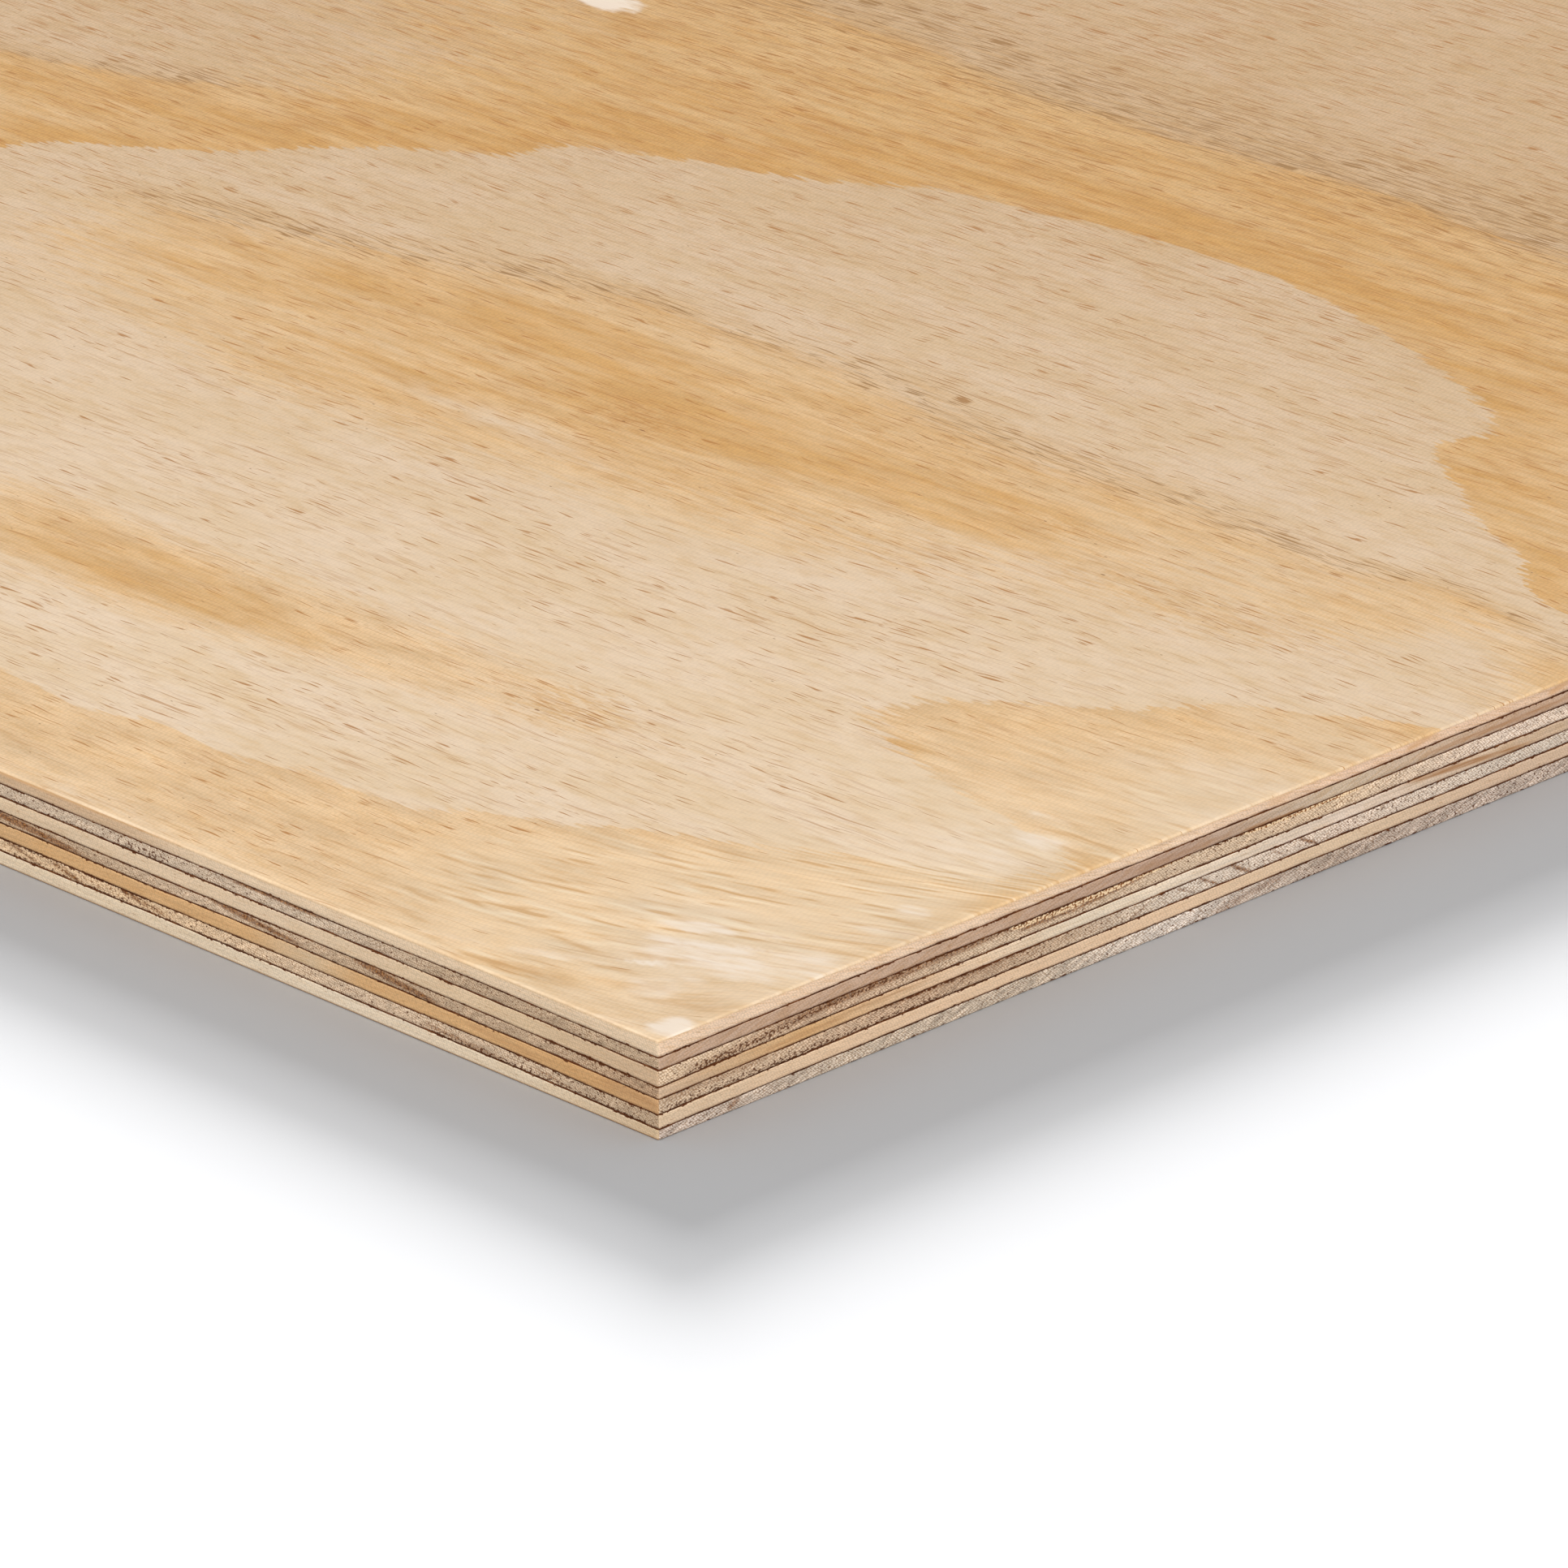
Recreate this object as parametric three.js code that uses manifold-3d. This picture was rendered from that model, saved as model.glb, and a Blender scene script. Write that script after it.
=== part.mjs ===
// Plywood sheet, 2440 x 1220 x 18 mm: seven rotary-cut pine veneers, laid cross-grained and glued.
//
// Millimetres, +Z up. X runs along the sheet's length, which is the grain of both outer veneers,
// and Y across it. The origin is the middle of the underside, so the sheet lies on Z = 0.
//
// The veneers and the cured glue lines between them are stacked from the underside up. All of them
// are trimmed by the same saw cuts, so they share one outline, with its upright corners taken off a
// little by sanding. The two outer veneers also have their long arrises eased round all four sides.

import * as THREE from 'three';
import { mergeVertices } from 'three/addons/utils/BufferGeometryUtils.js';
import Module from 'manifold-3d';

// ---------------------------------------------------------------- driving dimensions

const SHEET_LENGTH = 2440;
const SHEET_WIDTH = 1220;

const FACE_VENEER = 2.6;
const UPPER_CROSSBAND = 2.1;
const UPPER_LONG_VENEER = 2.55;
const CENTRE_CROSSBAND = 2.0;
const LOWER_LONG_VENEER = 2.45;
const LOWER_CROSSBAND = 2.25;
const BACK_VENEER = 2.55;

const GLUE_LINE = 0.25;

const CORNER_EASE = 0.5; // radius of the sheet's four upright corners
const FACE_ARRIS = 0.45; // radius of the sanded arris round the face
const BACK_ARRIS = 0.3; // radius of the arris round the back

const CORNER_STEPS = 3; // facets in each upright corner
const ARRIS_STEPS = 4; // facets in each long arris

const QUARTER_TURN = Math.PI / 2;
const ALONG = new THREE.Vector3(1, 0, 0);
const ACROSS = new THREE.Vector3(0, 1, 0);
const BACKWARD = new THREE.Vector3(0, -1, 0);
const UP = new THREE.Vector3(0, 0, 1);

// ---------------------------------------------------------------- colours and finish

const SANDED_PINE = 0xdcb687;
const SIDE_GRAIN = 0xd9b583;
const END_GRAIN = 0xa58a6d;
const CURED_GLUE = 0x5a3c26;

function veneerMaterial(colour, roughness) {
  return new THREE.MeshStandardMaterial({ color: colour, roughness, metalness: 0 });
}

const finishes = {
  sanded: () => veneerMaterial(SANDED_PINE, 0.62),
  sideGrain: () => veneerMaterial(SIDE_GRAIN, 0.75),
  endGrain: () => veneerMaterial(END_GRAIN, 0.88),
  glue: () => veneerMaterial(CURED_GLUE, 0.7),
};

// ---------------------------------------------------------------- the sawn outline

// The trimmed rectangle, drawn as its four eased corners with straight saw cuts between them.
function sawnOutline() {
  const alongX = SHEET_LENGTH / 2 - CORNER_EASE;
  const alongY = SHEET_WIDTH / 2 - CORNER_EASE;
  const outline = new THREE.Shape();
  outline.absarc(alongX, alongY, CORNER_EASE, 0, QUARTER_TURN);
  outline.absarc(-alongX, alongY, CORNER_EASE, QUARTER_TURN, 2 * QUARTER_TURN);
  outline.absarc(-alongX, -alongY, CORNER_EASE, 2 * QUARTER_TURN, 3 * QUARTER_TURN);
  outline.absarc(alongX, -alongY, CORNER_EASE, 3 * QUARTER_TURN, 4 * QUARTER_TURN);
  return outline;
}

// A layer with square edges, its underside at Z = 0.
function squareLayer(thickness) {
  return new THREE.ExtrudeGeometry(sawnOutline(), {
    depth: thickness,
    curveSegments: CORNER_STEPS,
    bevelEnabled: false,
  });
}

// ---------------------------------------------------------------- cutting

const wasm = await Module();
wasm.setup();

function toSolid(geometry) {
  const bare = geometry.index ? geometry.toNonIndexed() : geometry.clone();
  bare.deleteAttribute('normal');
  bare.deleteAttribute('uv');
  const merged = mergeVertices(bare, 1e-5);
  const mesh = new wasm.Mesh({
    numProp: 3,
    vertProperties: new Float32Array(merged.attributes.position.array),
    triVerts: new Uint32Array(merged.index.array),
  });
  return new wasm.Manifold(mesh);
}

function toGeometry(solid) {
  const mesh = solid.getMesh();
  const geometry = new THREE.BufferGeometry();
  geometry.setAttribute('position', new THREE.BufferAttribute(mesh.vertProperties, 3));
  geometry.setIndex(new THREE.BufferAttribute(mesh.triVerts, 1));
  geometry.computeVertexNormals();
  return geometry;
}

// ---------------------------------------------------------------- the outer veneers

// The section of an outer veneer, with the two arrises of its outer side eased.
function easedSection(span, thickness, arris) {
  const side = span / 2;
  const section = new THREE.Shape();
  section.moveTo(-side, 0);
  section.lineTo(side, 0);
  section.absarc(side - arris, thickness - arris, arris, 0, QUARTER_TURN);
  section.absarc(arris - side, thickness - arris, arris, QUARTER_TURN, 2 * QUARTER_TURN);
  return section;
}

// A section carried the whole way along the sheet, upright, with its middle over the origin.
function carriedAlong(section, run, acrossAxis, runAxis) {
  const bar = new THREE.ExtrudeGeometry(section, {
    depth: run,
    curveSegments: ARRIS_STEPS,
    bevelEnabled: false,
  });
  bar.translate(0, 0, -run / 2);
  return bar.applyMatrix4(new THREE.Matrix4().makeBasis(acrossAxis, UP, runAxis));
}

// An outer veneer is what its two eased sections and the sawn outline have in common, so its arris
// is eased along all four sides and mitres at the corners.
function easedLayer(thickness, arris, outerSide) {
  const alongX = carriedAlong(easedSection(SHEET_WIDTH, thickness, arris), SHEET_LENGTH, ACROSS, ALONG);
  const alongY = carriedAlong(easedSection(SHEET_LENGTH, thickness, arris), SHEET_WIDTH, ALONG, BACKWARD);
  const outline = squareLayer(thickness);
  const veneer = toSolid(outline).intersect(toSolid(alongX)).intersect(toSolid(alongY));
  const geometry = toGeometry(veneer);
  if (outerSide === 'under') geometry.rotateX(Math.PI).translate(0, 0, thickness);
  return geometry;
}

// ---------------------------------------------------------------- the lay-up

// From the underside up. The grain of each veneer lies across that of its neighbours.
const veneers = [
  { name: 'back_veneer', thickness: BACK_VENEER, finish: 'sanded', arris: BACK_ARRIS, outer: 'under' },
  { name: 'lower_crossband', thickness: LOWER_CROSSBAND, finish: 'endGrain' },
  { name: 'lower_long_veneer', thickness: LOWER_LONG_VENEER, finish: 'sideGrain' },
  { name: 'centre_crossband', thickness: CENTRE_CROSSBAND, finish: 'endGrain' },
  { name: 'upper_long_veneer', thickness: UPPER_LONG_VENEER, finish: 'sideGrain' },
  { name: 'upper_crossband', thickness: UPPER_CROSSBAND, finish: 'endGrain' },
  { name: 'face_veneer', thickness: FACE_VENEER, finish: 'sanded', arris: FACE_ARRIS, outer: 'top' },
];

function layer(name, geometry, finish, height) {
  const mesh = new THREE.Mesh(geometry, finishes[finish]());
  mesh.name = name;
  mesh.position.z = height;
  return mesh;
}

function laidUpSheet() {
  const sheet = new THREE.Group();
  let height = 0;
  veneers.forEach((veneer, index) => {
    if (index > 0) {
      sheet.add(layer(`glue_line_${index}`, squareLayer(GLUE_LINE), 'glue', height));
      height += GLUE_LINE;
    }
    const shape = veneer.outer
      ? easedLayer(veneer.thickness, veneer.arris, veneer.outer)
      : squareLayer(veneer.thickness);
    sheet.add(layer(veneer.name, shape, veneer.finish, height));
    height += veneer.thickness;
  });
  return sheet;
}

export default laidUpSheet();
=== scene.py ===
# Plywood sheet: the looks of the imported model, for Blender 4.5.
#
# Metres, +Z up, in the frame of the CAD model. X runs along the sheet's length and its face grain.
# Each veneer and glue line of the CAD model is replaced by one closed mesh, whose sawn edges have
# real relief and whose face carries the figure of a rotary-cut pine veneer as mesh attributes. The
# materials turn those attributes and the place on the sheet into grain, and paint some light and
# shade: a falloff of light across the face, and highlights on its arris and on the curl's strokes.
#
# Most sizes below are in millimetres, like the CAD source, and the meshes are scaled once by MM.
# "From the end" is the distance from the short edge at +X, and "from the front" the distance from
# the long edge at -Y: both are zero at the upright corner that the photo shows.

import math

import bpy
import numpy as np
from mathutils import Matrix, Vector
from mathutils.geometry import delaunay_2d_cdt


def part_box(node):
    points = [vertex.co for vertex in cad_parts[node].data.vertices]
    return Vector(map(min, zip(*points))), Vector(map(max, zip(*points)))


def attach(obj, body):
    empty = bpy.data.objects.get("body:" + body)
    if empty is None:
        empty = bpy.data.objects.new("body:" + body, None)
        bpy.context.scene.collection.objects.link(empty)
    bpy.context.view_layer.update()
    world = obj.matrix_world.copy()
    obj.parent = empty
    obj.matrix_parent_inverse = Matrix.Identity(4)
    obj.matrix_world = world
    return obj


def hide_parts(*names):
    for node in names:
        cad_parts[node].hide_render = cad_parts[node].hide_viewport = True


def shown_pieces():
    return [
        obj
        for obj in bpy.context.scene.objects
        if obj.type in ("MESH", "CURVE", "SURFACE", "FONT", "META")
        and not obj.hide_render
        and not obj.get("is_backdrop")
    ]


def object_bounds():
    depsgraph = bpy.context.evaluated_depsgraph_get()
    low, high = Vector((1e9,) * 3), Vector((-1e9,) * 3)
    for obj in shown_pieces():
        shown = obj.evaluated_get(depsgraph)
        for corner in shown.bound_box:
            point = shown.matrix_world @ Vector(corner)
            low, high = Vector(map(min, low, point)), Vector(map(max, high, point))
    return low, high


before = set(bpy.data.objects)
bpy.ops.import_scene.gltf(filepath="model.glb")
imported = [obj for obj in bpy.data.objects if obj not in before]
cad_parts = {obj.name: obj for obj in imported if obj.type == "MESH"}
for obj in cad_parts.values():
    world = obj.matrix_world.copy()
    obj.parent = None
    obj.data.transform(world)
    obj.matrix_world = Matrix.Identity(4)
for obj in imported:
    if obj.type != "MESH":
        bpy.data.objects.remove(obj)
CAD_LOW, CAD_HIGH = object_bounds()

MM = 0.001
SEED = 7

# ---------------- sizes, from the frame

HALF_LENGTH = CAD_HIGH.x / MM
HALF_WIDTH = CAD_HIGH.y / MM
THICKNESS = CAD_HIGH.z / MM
LENGTH = 2 * HALF_LENGTH
WIDTH = 2 * HALF_WIDTH

# Radii: the upright corners, the face's arris along its sides and at its corners, the back's arris.
CORNER_RADIUS = 0.5
FACE_ARRIS = 0.42
CORNER_ARRIS = 0.34
BACK_ARRIS = 0.3

# Veneers from the underside up. "Along" is a veneer whose grain runs along the sheet.
FACE = "face_veneer"
BACK = "back_veneer"
VENEERS = [
    (BACK, "along"),
    ("lower_crossband", "across"),
    ("lower_long_veneer", "along"),
    ("centre_crossband", "across"),
    ("upper_long_veneer", "along"),
    ("upper_crossband", "across"),
    (FACE, "along"),
]
GLUE_LINES = [f"glue_line_{number}" for number in range(1, len(VENEERS))]

# ---------------- camera

PHOTO_AZIMUTH = math.radians(45.04)
PHOTO_ELEVATION = math.radians(22.69)
PHOTO_ROLL = math.radians(0.12)
PHOTO_LENS = 280.25
PHOTO_SENSOR = 36.0
PHOTO_DISTANCE = 2.0
CLIP_NEAR = 0.05
CLIP_FAR = 400.0
AIM_RIGHT_OF_CORNER = 20.56 * MM
AIM_ABOVE_CORNER = 58.51 * MM


def new_object(name, data):
    made = bpy.data.objects.new(name, data)
    bpy.context.scene.collection.objects.link(made)
    return made


def direction(azimuth, elevation):
    """The way out from the object: azimuth 0 is its front, and both angles are in radians."""
    level = math.cos(elevation)
    return Vector((math.sin(azimuth) * level, -math.cos(azimuth) * level, math.sin(elevation)))


def photo_camera():
    """The photo's view of the shown corner, from a little above."""
    back = direction(PHOTO_AZIMUTH, PHOTO_ELEVATION)
    level = Vector((math.cos(PHOTO_AZIMUTH), math.sin(PHOTO_AZIMUTH), 0.0))
    raised = back.cross(level)
    cosine, sine = math.cos(PHOTO_ROLL), math.sin(PHOTO_ROLL)
    right = level * cosine + raised * sine
    up = raised * cosine - level * sine
    corner = Vector((CAD_HIGH.x, CAD_LOW.y, CAD_LOW.z))
    aim = corner + right * AIM_RIGHT_OF_CORNER + up * AIM_ABOVE_CORNER
    camera = new_object("photo_camera", bpy.data.cameras.new("photo_camera"))
    camera.data.lens = PHOTO_LENS
    camera.data.sensor_width = PHOTO_SENSOR
    camera.data.clip_start = CLIP_NEAR
    camera.data.clip_end = CLIP_FAR
    turn = Matrix((right, up, back)).transposed().to_4x4()
    camera.matrix_world = Matrix.Translation(aim + back * PHOTO_DISTANCE) @ turn
    bpy.context.scene.camera = camera


# ---------------- numbers: noise and ramps

# Large primes, which scatter the whole numbers of the noise.
COLUMN_PRIME, ROW_PRIME, SEED_PRIME, MIXING_PRIME = 374761393, 668265263, 974711, 1274126177
LOW_32_BITS, LOW_16_BITS = 0xFFFFFFFF, 0xFFFF


def lattice(column, row, seed):
    """A repeatable number from -1 to 1 for each point of a whole-number grid."""
    mixed = (column * COLUMN_PRIME + row * ROW_PRIME + seed * SEED_PRIME) & LOW_32_BITS
    mixed = ((mixed ^ (mixed >> 13)) * MIXING_PRIME) & LOW_32_BITS
    return ((mixed ^ (mixed >> 16)) & LOW_16_BITS) / (LOW_16_BITS / 2) - 1.0


def ease(share):
    return share * share * share * (share * (share * 6 - 15) + 10)


def noise(x, y, length, width, seed):
    """Smooth noise from -1 to 1, whose cells measure length by width."""
    across, up = np.asarray(x, float) / length, np.asarray(y, float) / width
    column, row = np.floor(across).astype(np.int64), np.floor(up).astype(np.int64)
    fx, fy = ease(across - column), ease(up - row)
    low = lattice(column, row, seed) * (1 - fx) + lattice(column + 1, row, seed) * fx
    high = lattice(column, row + 1, seed) * (1 - fx) + lattice(column + 1, row + 1, seed) * fx
    return low * (1 - fy) + high * fy


def with_waves(level, x, y, waves, seed):
    """A level with layers of noise added: waves holds the length, width and height of each."""
    for number, (length, width, height) in enumerate(waves):
        level = level + height * noise(x, y, length, width, seed + number)
    return level


def ramp(value, low, high):
    """0 below low, 1 above high, eased between them."""
    share = np.clip((np.asarray(value, float) - low) / (high - low), 0, 1)
    return share * share * (3 - 2 * share)


# ---------------- the figure of the face
#
# A rotary cut goes in and out of the tree's rings, so its figure is a map of ring phase: 0 is the
# start of a ring's pale early wood, and just under 1 the end of its orange late wood. The rings
# that the photo shows are listed: (from the end, from the front, ring phase).

RING_STARTS = [
    # the big pale tongue, round its blunt top
    (399, 210), (395, 219), (386, 226), (376, 233), (370, 237), (358, 251), (350, 259), (342, 267),
    (333, 272), (325, 279), (322, 289), (306, 297), (289, 304), (270, 312), (260, 320), (237, 327),
    (211, 331.5), (185, 334), (160, 331.7), (140, 327), (122, 321), (108, 315), (97, 309), (91, 300),
    (93, 292), (84, 283), (70, 273), (56, 264), (40, 256), (25, 246),
    # its lower side, near the front edge
    (215, 32), (190, 31), (165, 32), (154, 34.8), (146, 34), (132, 35.2), (124, 39), (115, 39.5),
    (102, 38.8), (94, 43.5), (87, 48), (73, 55.5), (66, 60.5), (56, 65), (46, 69), (37, 75.5), (20, 81),
    (12, 84), (6, 92),
    # the orange lens at the end
    (6, 101), (14, 105), (25, 107), (40, 110), (50, 112.5), (61, 116), (73, 121), (77, 126), (74, 134),
    (69, 140), (63, 145), (56, 150), (49, 154), (38, 168), (24, 178), (10, 186), (0, 190),
]

RING_NOTES = [
    # early wood inside the tongue
    (250, 300, 0.2), (150, 305, 0.2), (200, 280, 0.25), (300, 265, 0.25), (340, 235, 0.3),
    (110, 280, 0.25), (60, 245, 0.3), (20, 215, 0.35),
    # the soft band through its middle, and its fading away from the front
    (345, 222, 0.42), (330, 214, 0.58), (320, 226, 0.44), (300, 228, 0.50), (300, 212, 0.76),
    (270, 212, 0.84), (240, 214, 0.90), (235, 203, 0.90), (210, 214, 0.90), (210, 198, 0.91),
    (188, 197, 0.91), (180, 214, 0.89), (150, 214, 0.86), (120, 212, 0.80), (90, 210, 0.60),
    (60, 214, 0.60), (35, 216, 0.60), (8, 218, 0.61), (270, 238, 0.50), (240, 237, 0.64),
    (190, 238, 0.58), (160, 190, 0.74), (185, 190, 0.82), (210, 190, 0.85), (240, 232, 0.68),
    (210, 232, 0.64), (180, 232, 0.64), (150, 232, 0.58), (85, 227, 0.63), (58, 227, 0.63),
    (30, 227, 0.62), (60, 240, 0.44), (30, 240, 0.46), (240, 246, 0.40), (150, 246, 0.38),
    (70, 244, 0.32),
    # and its fading towards the front
    (360, 196, 0.54), (335, 197, 0.68), (310, 200, 0.80), (310, 188, 0.70), (270, 188, 0.73),
    (335, 182, 0.61), (300, 178, 0.64), (240, 180, 0.79), (210, 181, 0.73), (180, 180, 0.71),
    (150, 184, 0.65), (120, 188, 0.57), (90, 192, 0.54), (60, 194, 0.50), (112, 181, 0.50),
    (135, 171, 0.53), (40, 205, 0.50), (12, 203, 0.42), (330, 166, 0.50), (290, 166, 0.60),
    (255, 166, 0.67), (225, 166, 0.65), (190, 166, 0.62), (150, 167, 0.57), (110, 172, 0.42),
    (60, 182, 0.36), (240, 154, 0.48), (180, 154, 0.38),
    # pale again below it
    (300, 146, 0.34), (245, 142, 0.36), (190, 140, 0.22), (130, 150, 0.22), (90, 150, 0.20),
    (250, 125, 0.22), (200, 108, 0.25), (120, 108, 0.22), (80, 100, 0.2),
    # the second soft band
    (240, 95, 0.56), (240, 84, 0.82), (210, 93, 0.61), (210, 82, 0.82), (180, 93, 0.64), (180, 81, 0.82),
    (150, 93, 0.66), (150, 81, 0.74), (120, 91, 0.60), (120, 83, 0.60), (90, 86, 0.48), (70, 88, 0.40),
    (235, 70, 0.68), (205, 69, 0.66), (175, 69, 0.57), (150, 66, 0.30), (120, 62, 0.22), (210, 56, 0.34),
    (180, 55, 0.26), (160, 48, 0.2), (50, 92, 0.15), (25, 96, 0.1),
    # late wood in the lens at the end
    (45, 136, -0.12), (20, 140, -0.2), (5, 125, -0.15), (0, 150, -0.25), (20, 165, -0.12),
    # late wood along the front edge
    (190, 15, -0.15), (140, 15, -0.22), (100, 18, -0.2), (70, 30, -0.2), (40, 50, -0.22), (20, 60, -0.25),
    (0, 70, -0.3), (60, 5, -0.28), (0, 0, -0.35), (0, 40, -0.38), (25, 20, -0.35),
    # late wood above the tongue, fading into the next ring
    (185, 348, -0.19), (185, 365, -0.26), (160, 384, -0.46), (197, 381, -0.41), (226, 377, -0.41),
    (254, 376, -0.41), (283, 374, -0.41), (311, 379, -0.41), (340, 385, -0.46), (120, 388, -0.46),
    (200, 395, -0.62), (270, 392, -0.62), (140, 402, -0.62), (230, 440, -0.78), (330, 400, -0.62),
    (250, 345, -0.18), (300, 335, -0.22), (330, 320, -0.2), (350, 295, -0.2), (365, 270, -0.2),
    (385, 245, -0.2), (400, 225, -0.2), (415, 238, -0.20), (418, 256, -0.44), (390, 270, -0.42),
    (415, 285, -0.62), (430, 260, -0.62), (440, 300, -0.6), (385, 310, -0.45), (400, 330, -0.42),
    (360, 345, -0.34), (330, 360, -0.36), (80, 320, -0.15), (60, 300, -0.28), (30, 270, -0.22),
    (100, 350, -0.3), (60, 350, -0.35), (10, 250, -0.2), (245, 490, -0.86), (222, 474, -0.84),
    (268, 466, -0.82),
]

# Past the photo's edges the figure is the sheet's own drift of rings: these points are where the
# listed figure has given way to it.
FIGURE_LIMIT = [
    (330, -20), (430, 40), (530, 120), (620, 220), (650, 330), (620, 440), (540, 530), (430, 610),
    (300, 650), (170, 620), (70, 540), (-20, 450),
]
FIGURE_CENTRE = (200, 220)
FIGURE_REACH = 330
FIGURE_FADE = 170
GRAIN_SQUEEZE = 0.55
SOFTENING = 12.0

RINGS_ACROSS = 4.4
RING_WAVES = [(1150, 250, 1.15), (480, 110, 0.34)]


def drifting_rings(end, front, seed):
    """Ring phase of a whole veneer: a slow drift across it, and long waves along the grain."""
    return with_waves(RINGS_ACROSS * front / WIDTH, end, front, RING_WAVES, seed)


def spread_kernel(end, front, centres):
    """Multiquadric distances from places to centres, squeezed along the grain."""
    gap_x = (end[:, None] - centres[None, :, 0]) * GRAIN_SQUEEZE
    gap_y = front[:, None] - centres[None, :, 1]
    return np.sqrt(gap_x**2 + gap_y**2 + SOFTENING**2)


def from_figure(end, front):
    """Distance from the middle of the hand-placed figure."""
    return np.hypot(end - FIGURE_CENTRE[0], front - FIGURE_CENTRE[1])


class ShownFigure:
    """The photo's figure: the drifting rings, bent so that they pass through the placed points."""

    def __init__(self, seed):
        self.seed = seed
        starts = [(end, front, 0.0) for end, front in RING_STARTS]
        placed = np.array(starts + RING_NOTES, float)
        drift = drifting_rings(placed[:, 0], placed[:, 1], seed)
        self.shift = round(float(np.mean(placed[:, 2] - drift)), 2)
        bends = placed[:, 2] - drift - self.shift
        limit = np.array(FIGURE_LIMIT, float)
        self.centres = np.vstack([placed[:, :2], limit])
        bends = np.concatenate([bends, np.zeros(len(limit))])
        kernel = spread_kernel(self.centres[:, 0], self.centres[:, 1], self.centres)
        self.weights = np.linalg.solve(kernel, bends)

    def __call__(self, end, front):
        shape = np.shape(end)
        end, front = np.ravel(end).astype(float), np.ravel(front).astype(float)
        rings = drifting_rings(end, front, self.seed) + self.shift
        share = 1 - ramp(from_figure(end, front), FIGURE_REACH, FIGURE_REACH + FIGURE_FADE)
        near = share > 0
        bend = spread_kernel(end[near], front[near], self.centres) @ self.weights
        rings[near] += bend * share[near]
        return rings.reshape(shape)


face_rings = ShownFigure(seed=SEED)


def back_rings(end, front):
    return drifting_rings(end, WIDTH - front, SEED + 40)


# ---------------- the grain's direction
#
# "Across" is a place's distance across the grain, so a line of equal "across" is a fibre. The
# grain rises a little towards the shown end, more so far from the front, and it wanders. In the
# late wood at the shown corner it curls up steeply, and beyond that wood's boundary a little.

GRAIN_RISE = math.tan(math.radians(1.0))
FAR_RISE = math.tan(math.radians(1.8))
FAR_FROM, FAR_TO = 260.0, 370.0
RISE_REACH = 420.0
GRAIN_WANDER = [(260, 60, 3.6), (70, 22, 0.8)]

# The curl's boundary is so far from the front at the end, and falls by so much a millimetre.
CURL_BOUNDARY = 88.0
CURL_BOUNDARY_FALL = 0.57
CURL_BOUNDARY_BLUR = 12.0
CURL_RISE = math.tan(math.radians(22.0))
CURL_LENGTH = 105.0
CURL_BEYOND = 0.22
CURL_FADES = (130, 200)
CURL_AT_FRONT = 0.45
CURL_FULL = (4, 28)
STROKES_GROW = (0.02, 0.36)
STROKES_AT_CORNER = 0.35
STROKES_FULL = (16, 52)


def curl_bend(end, front):
    """The length over which the curl has turned the fibres so far, and its strength, 0 to 1."""
    inward = np.clip(1 - np.asarray(end, float) / CURL_LENGTH, 0, 1)
    beyond = front - CURL_BOUNDARY + CURL_BOUNDARY_FALL * end
    level = 1 - (1 - CURL_BEYOND) * ramp(beyond, -CURL_BOUNDARY_BLUR, CURL_BOUNDARY_BLUR)
    grown = CURL_AT_FRONT + (1 - CURL_AT_FRONT) * ramp(front, *CURL_FULL)
    level = level * (1 - ramp(front, *CURL_FADES)) * grown
    return CURL_LENGTH / 2 * inward**2 * level, inward * level


def curl_share(end, front):
    """How strongly the curl's strokes show, from 0 to 1: less so right at the corner."""
    _, share = curl_bend(end, front)
    grown = STROKES_AT_CORNER + (1 - STROKES_AT_CORNER) * ramp(end + 0.5 * front, *STROKES_FULL)
    return ramp(share, *STROKES_GROW) * grown


def rise_at(front):
    """How steeply the fibres rise to the shown end, away from the curl."""
    return GRAIN_RISE + FAR_RISE * ramp(front, FAR_FROM, FAR_TO)


def across_grain(end, front, seed, curled=False):
    """Distance across the grain. It grows to the far end, as the fibres rise to the shown one."""
    wander = with_waves(0.0, end, front, GRAIN_WANDER, seed)
    across = front + rise_at(front) * RISE_REACH * np.tanh(end / RISE_REACH) + wander
    if curled:
        bend, _ = curl_bend(end, front)
        across = across - CURL_RISE * bend
    return across


# ---------------- places round the edge

SIDES = [
    # name, direction of travel, outward direction: clockwise seen from above
    ("front", (-1, 0), (0, -1)),
    ("left", (0, 1), (-1, 0)),
    ("rear", (1, 0), (0, 1)),
    ("right", (0, -1), (1, 0)),
]
SIDE_NAMES = [name for name, _, _ in SIDES]
LONG_SIDES = ("front", "rear")

# Up to a little past what the photo shows of a side, stations are close together. Beyond, they are
# too far apart for fine relief, so less of it is left there.
SHOWN = {"front": 196, "right": 256}
FINE_STEP = 0.4
COARSE_STEP = 3.0
COARSE_RELIEF = 0.25
HALF_CORNER_STEPS = 2


def straight_marks(length, shown):
    """Distances along a side, close together in its shown part."""
    run = length - 2 * CORNER_RADIUS
    count = max(2, int(round((run - shown) / COARSE_STEP)))
    marks = np.concatenate([np.arange(0, shown, FINE_STEP), np.linspace(shown, run, count + 1)])
    return marks + CORNER_RADIUS


def eased(centre, first, second, quarter, steps):
    """Places and outward directions round half a corner, turning from the first to the second."""
    stations = []
    for step in steps:
        angle = math.pi / 4 * (quarter + step / HALF_CORNER_STEPS)
        normal = first * math.cos(angle) + second * math.sin(angle)
        stations.append((*(centre + normal * CORNER_RADIUS), *normal))
    return stations


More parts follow.
